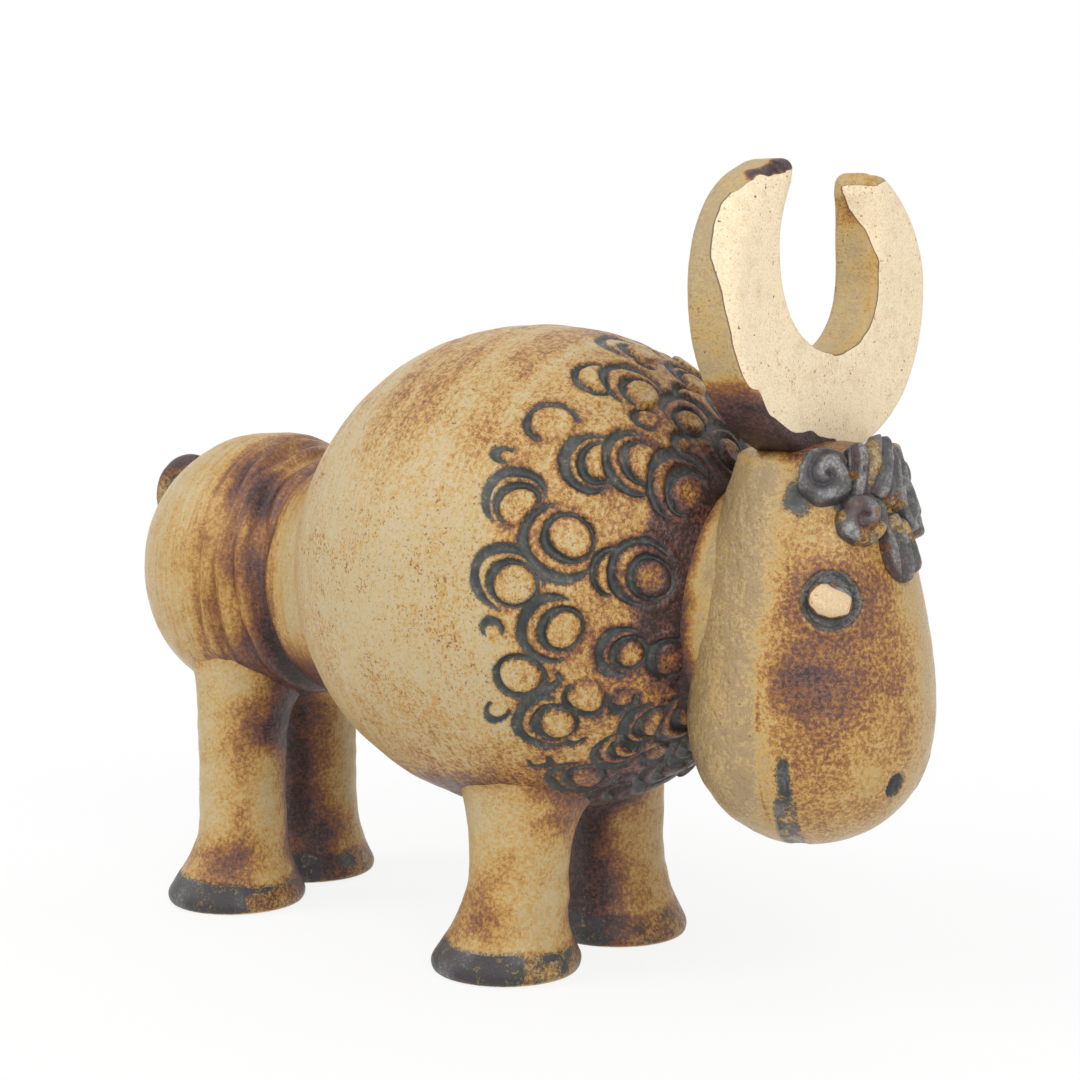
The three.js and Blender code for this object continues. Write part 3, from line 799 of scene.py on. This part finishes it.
horns = {
    "front": 69.0,
    "thickness": 10.0,
    "halfSpan": 34.6,
    "wideHeight": 137.0,
    "drop": 31.5,
    "rise": 26.6,
    "gapHalfWidth": 18.0,
    "gapHeight": 144.3,
    "gapDrop": 19.6,
    "tipInside": 14.6,
    "tipOutside": 18.4,
    "roll": 1.5,
    "edge": 1.1,
    "voxel": 0.45,
    "tipRounding": 2.6,
    "leftGapIn": 3.4,       # the left prong is this much fatter on the inside
    # how far the bare face reaches round the edge of each prong: heights, then millimetres
    "bareRight": ((112, 121, 125, 131, 136, 139, 142, 148, 152, 157),
                  (0.3, -0.1, 0.0, 0.7, 1.3, 2.6, 4.2, 5.0, 5.0, 2.0)),
    "bareLeft": ((120, 143, 149, 153, 157), (-0.6, -0.4, 2.6, 6.0, 7.2)),
    # the dark glaze at the foot: places across, then the heights it runs up to
    "footGlaze": ((-30, -25.6, -21.5, -12.5, 1, 9), (121.5, 119, 114.8, 111.6, 110.4, 104)),
}


def hornOutline():
    # right half from the bottom, out and up to the tip and down the gap; 0 outside, 1 tip, 2 gap
    s = horns
    outsideAngle = math.acos(s["tipOutside"] / s["halfSpan"])
    insideAngle = math.acos(s["tipInside"] / s["gapHalfWidth"])
    outer = [(s["halfSpan"] * math.cos(a),
              s["wideHeight"] + (s["drop"] if a < 0 else s["rise"]) * math.sin(a))
             for a in np.linspace(-math.pi / 2, outsideAngle, 70)]
    inner = [(s["gapHalfWidth"] * math.cos(a), s["gapHeight"] + s["gapDrop"] * math.sin(a))
             for a in np.linspace(insideAngle, -math.pi / 2, 44)]
    top = outer[-1][1]
    crown = [(s["tipOutside"] - 2.6, top + 0.5), (s["tipInside"] - 0.3, top - 0.9)]
    tip = smoothLine([outer[-1]] + crown + [inner[0]], 13)
    half = outer + tip[1:-1].tolist() + inner
    kinds = [0] * len(outer) + [1] * 11 + [2] * len(inner)
    left = [(-y, z) for y, z in half[-2:0:-1]]
    outline, kinds = np.array(half + left), np.array(kinds + kinds[-2:0:-1])

    # shaped by hand: the left prong fatter inside, the right one fuller outside and a touch taller
    y, z = outline[:, 0].copy(), outline[:, 1].copy()
    outline[:, 0] -= s["leftGapIn"] * (kinds > 0) * ease(y, 0, 14) * bell(z - 147, 14)
    outline[:, 1] += 1.0 * (kinds == 2) * bell(y, 12) * ease(z, 140, 128)
    outline[:, 0] -= 2.5 * (kinds < 2) * ease(-y, 14, 24) * bell(z - 155, 8)
    outline[:, 1] += 0.7 * ease(-y, 4, 14) * ease(z, 150, 158)
    return outline, kinds


def nearestOnOutline(points, outline, kinds):
    # distance to the outline seen from the front, the way inwards there, and which part it is
    ends = np.roll(outline, -1, axis=0)
    best = np.full(len(points), 1e9)
    inwards = np.zeros((len(points), 2))
    kind = np.zeros(len(points), dtype=int)
    for start, end, name in zip(outline, ends, kinds):
        along = end - start
        share = np.clip((points - start) @ along / (along @ along), 0, 1)
        apart = np.linalg.norm(points - start - share[:, None] * along, axis=1)
        closer = apart < best
        best[closer] = apart[closer]
        inwards[closer] = np.array([-along[1], along[0]]) / np.linalg.norm(along)
        kind[closer] = name
    return best, inwards, kind


def rightSideOf(y):
    return ease(-y, 4, 12)


def makeHorns():
    s = horns
    outline, kinds = hornOutline()
    back = s["front"] - s["thickness"]
    points = [(back, y, z) for y, z in outline]
    piece = newPiece("horn_crescent", points, [(i, (i + 1) % len(points)) for i in range(len(points))])
    bpy.ops.object.mode_set(mode="EDIT")
    bpy.ops.mesh.select_all(action="SELECT")
    bpy.ops.mesh.edge_face_add()
    bpy.ops.mesh.extrude_region_move(TRANSFORM_OT_translate={"value": (s["thickness"], 0, 0)})
    bpy.ops.mesh.select_all(action="SELECT")
    bpy.ops.mesh.normals_make_consistent(inside=False)
    bpy.ops.object.mode_set(mode="OBJECT")
    remesh(piece, s["voxel"], 2)

    # edges rubbed round: most over the tips and on the outer edge of the right prong
    points = getPoints(piece)
    apart, inwards, kind = nearestOnOutline(points[:, 1:], outline, kinds)
    inside = np.clip(apart, 0, None)
    y, z = points[:, 1], points[:, 2]
    high, tips = ease(z, 118, 138), ease(z, 146, 158)
    rightSide = rightSideOf(y)
    frontRound = s["edge"] + 0.3 + high * np.where(kind == 0, 0.6 + 0.8 * rightSide, 0.5)
    frontRound += ease(z, 140, 150) * np.where((kind == 0) == (y < 0), 2.2, 0.4)
    backRound = s["edge"] + (s["tipRounding"] - s["edge"]) * tips
    behind = s["front"] - points[:, 0]
    for depth, away, size in ((behind, -1, frontRound), (s["thickness"] - behind, 1, backRound)):
        u, v = size - inside, size - np.clip(depth, 0, None)
        length = np.hypot(u, v)
        corner = (u > 0) & (v > 0) & (length > size)
        pull = np.where(corner, 1 - size / np.maximum(length, 1e-6), 0)
        points[:, 0] += away * v * pull
        points[:, 1:] += inwards * (u * pull)[:, None]
    setPoints(piece, points)
    soften(piece, 3)

    points = getPoints(piece)
    out = getPoints(piece, "normal")
    behind = s["front"] - points[:, 0]
    apart, inwards, kind = nearestOnOutline(points[:, 1:], outline, kinds)
    faceOn = ease(out[:, 0], 0.6, 0.95)
    y, z = points[:, 1].copy(), points[:, 2].copy()

    # where the glaze stops: just round the edge on the right prong, just inside it elsewhere
    ragged = 0.5 * lumps(points, 8, 84) + 0.3 * lumps(points, 2.4, 85)
    rightRound = rightSideOf(y) * np.interp(z, *s["bareRight"])
    leftRound = rightSideOf(-y) * np.interp(z, *s["bareLeft"])
    reachRound = np.select([kind == 0, kind == 1], [rightRound + 0.3, np.where(y < 0, rightRound, leftRound)],
                           np.where(y < 0, 0.4, leftRound - 0.3))
    bare = 0.5 + 0.45 * (apart * (behind < 3) - behind + reachRound + ragged)
    tip = ease(z - 0.3 * (y + 28) + 1.4 * lumps(points, 2.2, 83), 154.6, 155.6) * ease(-y, 4, 8)
    tipStain = tip * ease(4.4 + 1.4 * lumps(points, 3, 91) - behind, 0, 2)
    cap = ease(z - 0.33 * np.clip(y - 14, 0, 20) + 0.4 * lumps(points, 2.6, 90), 157, 157.8) * ease(y, 4, 8)
    bare = np.clip(bare, 0, 1) - 1.1 * np.clip(tip + cap, 0, 1)
    bare -= 1.1 * ease(np.interp(y, *s["footGlaze"]) + 0.9 * lumps(points, 3.5, 81) - z, 0, 1.2)
    iron = 0.05 + 0.12 * lumps(points, 9, 86) + 0.24 * ease(lumps(points, 14, 88), 0.1, 0.6)
    iron += 0.95 * ease(-z - 2.0 * lumps(points, 6, 87), -121, -115.5) + 0.85 * tipStain
    iron += np.where(kind > 0, 0.14 * ease(z, 146, 156) + 0.16 * bell(behind - 1.4, 1.3), 0)
    iron += 0.4 * (kind > 0) * bell(z - 152.5, 3) * bell(behind - 5, 4) * ease(y, 4, 8)
    paint(piece, iron=np.clip(iron, 0, 1), slip=-1, bare=np.clip(bare, 0, 1), worn=0)

    points += out * ((0.3 * lumps(points, 15, 89) + 0.1 * lumps(points, 4, 82)) * (1 - 0.6 * faceOn))[:, None]
    points[:, 0] += 0.7 * lumps(points, 40, 80)
    roll = math.radians(s["roll"])
    y, z = points[:, 1].copy(), points[:, 2] - head["top"]
    points[:, 1] = y * math.cos(roll) + z * math.sin(roll)
    points[:, 2] = z * math.cos(roll) - y * math.sin(roll) + head["top"]
    setPoints(piece, points)
    settle(piece, "horns", glaze("hornClay", {
        "roughness": 0.45, "bumpHeight": 0.2, "speckle": 0.6, "palest": "olive",
    }))


# Legs: rolled clay, flared and smeared on to the body

leg = {
    "foot": ((13.2, 0.0), (14.6, 0.5), (15.2, 1.6), (15.1, 3.0), (14.0, 5.2), (12.7, 7.8), (11.6, 10.8),
             (10.7, 15.0), (10.2, 20.0)),
    "shank": 10.2,
    "steps": 120,
    "rings": 110,
    "smear": 4.6,
    "smearReach": 4.4,
    "thinSide": 12.0,       # degrees from straight ahead: where the slate is brushed thin
    "straightFrom": 20.0,   # above this height a leg is stretched to meet its body
    "top": 60.0,
    "letIn": 1.2,           # how deep it stands in the body
    "collarHalfWidth": 27.0,    # the rump's waist, as the legs meet it
    "collarBulge": 0.74,
}
legs = (
    # name, x, y, lean, thickness, body, seed, stains: turn, height, half turn, half height, iron
    ("front_leg_right", 4.8, -18.2, 3.5, 1.0, "barrel", 101,
     ((2, 37, 46, 8, 0.65), (-105, 12, 55, 8, 0.5), (-85, 24, 50, 6, 0.35), (60, 20, 40, 20, 0.5))),
    # far leg: the dark stains on its left and across the top are partly glaze and partly painted shade under
    # the belly
    ("front_leg_left", 5.6, 18.6, -0.6, 1.03, "barrel", 111,
     ((-112, 26, 60, 28, 1.5), (-50, 40, 70, 8, 0.9), (100, 14, 60, 9, 0.35))),
    ("hind_leg_right", -77.0, -13.4, 2.2, 0.93, "rump", 121,
     ((10, 42, 60, 10, 0.9), (-38, 22, 24, 16, 0.35), (-80, 10, 75, 6, 0.42), (60, 20, 45, 22, 0.7))),
    # far leg: the dark stain on its left is partly glaze and partly painted shade under the body
    ("hind_leg_left", -83.6, 17.4, 1.2, 1.0, "rump", 131,
     ((-100, 26, 64, 30, 1.6), (-20, 12, 60, 5, 0.2), (100, 34, 60, 8, 0.4))),
)


def undersideAt(body, x, y):
    # height of the body's surface above a point on the ground
    s = leg
    if body == "barrel":
        middle, half, radius, height = 0.0, barrel["halfLength"], barrel["radius"], barrel["height"]
    else:
        middle, half = rump["middle"][0], rump["halfLength"]
        radius, height = rump["radius"], rump["middle"][2]
    bulge = 1 - ((x - middle) / half) ** 2 - (y / radius) ** 2
    if body == "rump":
        collar = 1 - (y / s["collarHalfWidth"]) ** 2
        bulge = np.where(x > middle + 4, np.maximum(bulge, collar * s["collarBulge"]), bulge)
    return height - radius * np.sqrt(np.clip(bulge, 0.02, 1))


def makeLeg(name, x, y, lean, thickness, body, seed, stains):
    s = leg
    foot = smoothLine(s["foot"], s["rings"] // 2)
    shank = [(s["shank"], h) for h in np.linspace(20.4, s["top"], s["rings"] // 2)]
    profile = [(0, 0)] + foot.tolist() + shank + [(0, s["top"])]
    piece = throwOnWheel(name + "_roll", profile, "Z", s["steps"])
    points = getPoints(piece)
    radius = np.maximum(np.hypot(points[:, 0], points[:, 1]), 1e-6)
    around = np.arctan2(points[:, 1], points[:, 0])
    shift = lean * ease(points[:, 2], 0, 20)
    height = points[:, 2].copy()

    # the top is cut to the underside of the body, with clay smeared up all round, most on the inside
    start = s["straightFrom"]
    top = undersideAt(body, x + shift + points[:, 0], y + points[:, 1]) + s["letIn"]
    share = (height - start) / (s["top"] - start)
    points[:, 2] = np.where(height > start, start + share * (top - start), height)
    below = np.clip(top - points[:, 2], 0, 99)
    inward = np.clip(-np.sign(y) * np.sin(around), 0, 1)
    smear = (0.9 + s["smear"] * inward + 1.2 * np.abs(np.cos(around))) * np.exp(-below / s["smearReach"])
    side = (radius + np.where(radius > 5, smear, 0)) / radius * (1 + (thickness - 1) * ease(height, 6, 16))
    points[:, :2] *= side[:, None]
    offAxis = np.where(radius > 1, 1, 0)
    above = undersideAt(body, x + shift + points[:, 0], y + points[:, 1]) + s["letIn"]
    points[:, 2] += np.where(height > start, (above - top) * np.exp(-below / 6), 0)

    flat = ease(points[:, 2], 0.4, 3)
    dents = 0.45 * lumps(points + seed, 13, seed) + 0.14 * lumps(points + seed, 4, seed + 1)
    out = ringWay(around)
    points += out * (dents * (0.35 + 0.65 * flat) * offAxis)[:, None]
    along = np.column_stack([0 * around, 0 * around, points[:, 2]]) + 0.06 * points + seed
    ribs = lumps(along, 2.6, seed + 8)
    points += out * (0.16 * ribs * flat * offAxis)[:, None]
    points[:, 2] += flat * 0.1 * lumps(points + seed, 5, seed + 2)
    points[:, 0] += shift
    points += (x, y, 0)
    setPoints(piece, points)

    # hoof: slate brushed round the foot, thinner towards one side, over a bare line
    z = points[:, 2]
    facing = np.cos(around - math.radians(-50))
    hoofTop = 7.4 - 0.9 * facing + 0.45 * lumps(points + seed, 7, seed + 3)
    wider = 0.4 if name == "front_leg_left" else 0.0
    thin = ease(np.cos(around - math.radians(s["thinSide"])), 0.5 - wider, 0.8 - wider)
    thin = np.clip(thin * (1.0 + 0.9 * lumps(points + seed, 3, seed + 7)), 0, 1)
    slip = np.clip(np.minimum(hoofTop - z, (z - 0.6) * 2.0), -1, 1)
    slip -= 1.5 * thin * ease(hoofTop - z, -1, 0)
    worn = np.clip(0.02 + 0.6 * lumps(points + seed, 5, seed + 4), 0, 0.4)
    streak = np.column_stack([6 * np.cos(around), 6 * np.sin(around), 0.12 * z]) + seed
    band = lumps(streak, 4.5, seed + 6)
    iron = 0.08 + 0.16 * band + 0.14 * bell(z - 11, 6) * np.clip(0.7 + 0.9 * band, 0, 1)
    patchy = np.clip(0.9 + 0.35 * lumps(points + seed, 6, seed + 9), 0, 1.3)
    for turn, height, halfTurn, halfHeight, amount in stains:
        apart = (np.degrees(around) - turn + 180) % 360 - 180
        iron += amount * patchy * bell(apart, halfTurn) * bell(z - height, halfHeight)
    iron += 0.25 * bell(below, 2.5) + 0.3 * thin * ease(hoofTop - z, -1, 0)
    paint(piece, iron=np.clip(iron, 0, 0.95), slip=slip, bare=np.where(z < 0.6, 0.9, 0.0), worn=worn)
    look = glaze(name + "Glaze", {
        "roughness": 0.38, "slipFlecks": 0.4, "slipLight": "ink", "slipDark": "night",
        "cloudSize": 8, "dotAmount": 0.26, "patchAmount": 0.5,
    })
    settle(piece, name, look)


# Tail: a rolled coil with a web of clay inside

tail = {"middle": (-104.5, 0, 87.6), "radius": 11.3, "roll": 2.6, "voxel": 0.42}


def sweep(name, path, radii, sides=20):
    # a round roll of clay along a path in the plane of X and Z
    path = np.array(path)
    along = unitRows(np.gradient(path, axis=0))
    across = np.column_stack([-along[:, 2], 0 * along[:, 0], along[:, 0]])
    points, faces = [], []
    for ring in range(len(path)):
        for side in range(sides):
            a = 2 * math.pi * side / sides
            way = across[ring] * math.cos(a) + np.array([0, math.sin(a), 0])
            points.append(path[ring] + radii[ring] * way)
    for ring in range(len(path) - 1):
        for side in range(sides):
            a, b = ring * sides + side, ring * sides + (side + 1) % sides
            faces.append((a, b, b + sides, a + sides))
    faces.append(tuple(range(sides - 1, -1, -1)))
    faces.append(tuple((len(path) - 1) * sides + side for side in range(sides)))
    return newPiece(name, points, [], faces)


def makeTail():
    s = tail
    turns = np.radians(np.linspace(70, 70 + 470, 90))
    reach = np.linspace(s["radius"] - s["roll"], 2.6, 90)
    path = [(s["middle"][0] + r * math.cos(a), 0, s["middle"][2] + r * math.sin(a))
            for r, a in zip(reach, turns)]
    radii = s["roll"] * (1 - 0.35 * ease(np.linspace(0, 1, 90), 0.8, 1))
    piece = sweep("tail_coil", path, radii)
    bpy.ops.object.select_all(action="DESELECT")
    bpy.ops.mesh.primitive_cylinder_add(vertices=64, radius=s["radius"] - s["roll"], depth=3.0,
                                        location=s["middle"], rotation=(math.pi / 2, 0, 0))
    web = bpy.context.object
    piece.select_set(True)
    web.select_set(True)
    bpy.context.view_layer.objects.active = piece
    bpy.ops.object.join()
    remesh(piece, s["voxel"], 5)
    points = getPoints(piece)
    points += getPoints(piece, "normal") * (0.15 * lumps(points, 4, 151))[:, None]
    setPoints(piece, points)
    away = np.hypot(points[:, 0] - s["middle"][0], points[:, 2] - s["middle"][2])
    flatSide = ease(-np.abs(points[:, 1]), -2.2, -1.4)
    iron = 0.35 + 0.5 * ease(away, 7, 9.5) + 0.2 * lumps(points, 4, 153)
    slip = 1.4 * flatSide * ease(away, 9, 7) - 0.5 + 0.5 * lumps(points, 5, 154)
    paint(piece, iron=np.clip(iron, 0, 0.95), slip=np.clip(slip, -1, 1), bare=0,
          worn=np.clip(0.3 + lumps(points, 4, 155), 0, 0.8))
    settle(piece, "tail", glaze("tailGlaze", {"roughness": 0.42}))


# Eyes: bare pellets pressed into their rings, chipped at the edge

eye = {"halfWidth": 4.0, "halfHeight": 3.55, "thickness": 1.3, "sunk": 0.85}


def makeEye(node, side, seed):
    s = eye
    piece = newBall(node + "_pellet", 72, 40)
    points = getPoints(piece)
    flat = points.copy()
    around = np.arctan2(points[:, 1], points[:, 0])
    reach = np.hypot(points[:, 0], points[:, 1])
    ripple = 1 + 0.12 * lumps(ringWay(around) * 3, 2.3, seed)
    fromBite = (around - math.radians(90 - 15 * side) + math.pi) % (2 * math.pi) - math.pi
    ripple *= 1 - 0.2 * bell(fromBite, 0.45)
    flat[:, 0] *= s["halfWidth"] * ripple
    flat[:, 1] *= s["halfHeight"] * ripple
    flat[:, 2] = np.sign(points[:, 2]) * s["thickness"] * (1 - reach ** 3.2)
    flat[:, 2] += 0.16 * lumps(flat, 2.2, seed + 1)
    height = head["eye"][1]
    middle = onFace(side, head["eye"], -s["sunk"])
    out = onFace(side, head["eye"], 1) - onFace(side, head["eye"])
    slope = (headRadiusAt(height + 1) - headRadiusAt(height - 1)) / 2
    out = out + (0, 0, -slope)
    out /= np.linalg.norm(out)
    across = np.cross((0, 0, 1), out)
    across /= np.linalg.norm(across)
    up = np.cross(out, across)
    setPoints(piece, middle + flat[:, :1] * across + flat[:, 1:2] * up + flat[:, 2:] * out)
    smear = ease(flat[:, 0] * side + 1.6 * flat[:, 1] - 3.4 + 1.2 * lumps(flat, 1.8, seed + 2), 0, 0.7)
    bare = ease(0.94 - reach + 0.06 * lumps(flat, 1.5, seed + 3), -0.05, 0.05)
    paint(piece, iron=0.6, slip=np.clip(2 * smear - 1, -1, 1), bare=bare, worn=1)
    settle(piece, node, glaze(node + "Clay", {"roughness": 0.6, "clay": "biscuit"}))


# Forelock: rolled coils flattened on to the brow

curl = {"thickness": 3.3, "pitch": 4.1, "groove": 1.25}
curls = (
    # node, turn, height, half width, half height, tilt, wind (0 is a ridged leaf), seed
    ("curl_right_outer", 50, 103.2, 5.2, 5.3, -10, 1, 201),
    ("curl_right_inner", 28, 95.9, 5.0, 5.0, 20, -1, 202),
    ("curl_crown", 5, 104.2, 5.0, 6.8, 24, 0, 203),
    ("curl_middle", -14, 97.6, 4.2, 5.6, -18, -1, 204),
    ("curl_brow", 5, 89.9, 4.2, 6.4, -14, 0, 205),
    ("curl_left_inner", -44, 94.8, 5.0, 5.0, 30, 1, 206),
    ("curl_left_outer", -44, 103.2, 5.0, 5.0, 70, -1, 207),
    ("curl_strand", 27, 104.0, 2.6, 5.6, 8, 0, 208),
)


def makeCurl(node, turn, height, halfWidth, halfHeight, tilt, wind, seed):
    s = curl
    piece = newBall(node + "_roll", 96, 64)
    points = getPoints(piece)
    reach = np.clip(np.hypot(points[:, 0], points[:, 1]), 0, 1)
    around = np.arctan2(points[:, 1], points[:, 0])
    blunt = (np.abs(np.cos(around)) ** 2.5 + np.abs(np.sin(around)) ** 2.5) ** (-1 / 2.5)
    mean = math.sqrt(halfWidth * halfHeight)
    if wind:
        share = reach * mean / s["pitch"] - wind * around / (2 * math.pi) + seed * 0.37
    else:
        share = points[:, 0] * halfWidth / 3.1 + 0.25 * points[:, 1] + 0.5
    share = share + 0.1 * lumps(points * 3, 1.7, seed + 40)
    rolled = np.abs(np.sin(math.pi * share)) ** 0.7
    rim = ease(reach, 1.0, 0.9)
    dome = s["thickness"] * (1 - reach ** 3.5) ** 0.6
    high = dome * 0.62 + s["groove"] * rolled * rim * ease(reach, 0.0, 0.12)
    high = high + 0.25 * lumps(points * 4, 1.6, seed)
    high = np.where(points[:, 2] > 0, np.maximum(high, -0.5), -1.2 * (1 - reach ** 4))
    wide = 1 + 0.09 * lumps(ringWay(around) * 3, 1.3, seed + 20)
    a = points[:, 0] * halfWidth * wide * blunt
    b = points[:, 1] * halfHeight * wide * blunt
    t = math.radians(tilt)
    across, up = a * math.cos(t) - b * math.sin(t), a * math.sin(t) + b * math.cos(t)
    placeHeight = np.clip(height + up, 60, 105.9)
    over = height + up - placeHeight
    radius = headRadiusAt(placeHeight)
    places = onHead(turn + np.degrees(across / (headRadiusAt(min(height, 104)) + 1)), placeHeight)
    slope = np.clip(headRadiusAt(placeHeight + 0.5) - headRadiusAt(placeHeight - 0.5), -1.2, 1.2)
    out = unitRows(np.column_stack([(places[:, 0] - head["x"]) / radius, places[:, 1] / radius, -slope]))
    places[:, 2] += over * 0.8
    places[:, 0] -= 0.25 * np.clip(over, 0, 9)
    setPoints(piece, places + out * high[:, None])
    # the ridge tops wear to ash: partly worn slip and partly a painted highlight
    top = ease(rolled * rim, 0.7, 1.0)
    paint(piece, iron=np.clip(0.42 + 0.4 * lumps(places, 3, seed + 32), 0, 1),
          slip=np.clip(0.6 + 1.6 * lumps(places, 3.2, seed + 30), -0.6, 1), bare=0,
          worn=np.clip(0.1 + top * (0.5 + 1.1 * lumps(places, 2.6, seed + 31)), 0, 0.9))
    settle(piece, node, glaze(node + "Glaze", {
        "roughness": 0.32, "slipDark": "night", "slipPlum": 0.55, "slipFlecks": 0.25, "slipRoughness": 0.26,
    }))


# Studio: white sweep, soft light from all round, camera at the photograph's angle

studio = {
    "turn": 38.2,
    "rise": 6.25,
    "distance": 500.0,
    "aim": (-0.36, -0.29, 85.63),
    "lens": 80.71,
    "skyLight": 0.5,
    "whiteFrom": 0.1,       # the floor fades to the backdrop's white between these distances
    "whiteTo": 0.3,
    "lamps": (
        # name, place, size, power
        ("keySoftbox", (-0.75, -0.95, 1.05), 0.9, 9.0),
        ("fillSoftbox", (1.0, -0.72, 0.8), 0.8, 9.2),
        ("topSoftbox", (0.0, 0.35, 1.5), 1.2, 3.2),
    ),
}


def seenDirectly(tree):
    rays = addNode(tree, "ShaderNodeLightPath").outputs
    return maths(tree, "MAXIMUM", rays["Is Camera Ray"], rays["Is Glossy Ray"], rays["Is Transmission Ray"])


def makeStudio():
    s = studio
    bpy.ops.object.select_all(action="DESELECT")
    bpy.ops.mesh.primitive_circle_add(vertices=96, radius=3.0, fill_type="NGON", location=(0, 0, 0))
    floor = bpy.context.object
    floor.name = "floor"
    material = bpy.data.materials.new("floorPaper")
    material.use_nodes = True
    tree = material.node_tree
    shader = tree.nodes["Principled BSDF"]
    where = addNode(tree, "ShaderNodeTexCoord").outputs["Object"]
    paper = mixColours(tree, grain(tree, where, 30, 3), (0.93, 0.93, 0.93, 1), (0.96, 0.96, 0.96, 1))
    tree.links.new(paper, shader.inputs["Base Color"])
    shader.inputs["Roughness"].default_value = 0.75
    shader.inputs["Specular IOR Level"].default_value = 0.2
    seen = seenDirectly(tree)
    glow = addNode(tree, "ShaderNodeEmission", {"Color": (1, 1, 1, 1), "Strength": 1.0})
    reach = addNode(tree, "ShaderNodeVectorMath", {0: where}, operation="LENGTH").outputs["Value"]
    amount = times(tree, seen, stretch(tree, reach, s["whiteFrom"], s["whiteTo"], (0.85, 1.0)))
    mix = addNode(tree, "ShaderNodeMixShader", {0: amount, 1: shader.outputs[0], 2: glow.outputs[0]})
    tree.links.new(mix.outputs[0], tree.nodes["Material Output"].inputs["Surface"])
    floor.data.materials.append(material)

    world = bpy.data.worlds.new("studio")
    bpy.context.scene.world = world
    world.use_nodes = True
    tree = world.node_tree
    strength = mixValues(tree, seenDirectly(tree), s["skyLight"], 1.0)
    tree.links.new(strength, tree.nodes["Background"].inputs["Strength"])
    tree.nodes["Background"].inputs["Color"].default_value = (1, 1, 1, 1)

    aim = np.array(s["aim"]) * mm + (barrelMiddle, 0, 0)
    for name, place, size, power in s["lamps"]:
        lamp = bpy.data.lights.new(name, "AREA")
        lamp.shape = "DISK"
        lamp.size = size
        lamp.energy = power
        rig = addObject(name, lamp)
        rig.location = place
        direction = np.array(place) - aim
        rig.rotation_euler = (math.atan2(math.hypot(direction[0], direction[1]), direction[2]), 0,
                              math.atan2(direction[0], -direction[1]))

    camera = bpy.data.cameras.new("camera")
    camera.lens = s["lens"]
    camera.sensor_width = 36.0
    camera.sensor_fit = "HORIZONTAL"
    rig = addObject("camera", camera)
    turn, rise = math.radians(s["turn"]), math.radians(s["rise"])
    away = np.array([math.sin(turn) * math.cos(rise), -math.cos(turn) * math.cos(rise), math.sin(rise)])
    rig.location = aim + away * s["distance"] * mm
    rig.rotation_euler = (math.pi / 2 - rise, 0, turn)
    bpy.context.scene.camera = rig
    bpy.context.scene.view_settings.view_transform = "Standard"
    print("studio ready")


makeStudio()
makeBarrel()
makeRump()
makeNeck()
makeHead()
makeHorns()
for row in legs:
    makeLeg(*row)
makeTail()
makeEye("eye_right", 1, 161)
makeEye("eye_left", -1, 171)
for row in curls:
    makeCurl(*row)
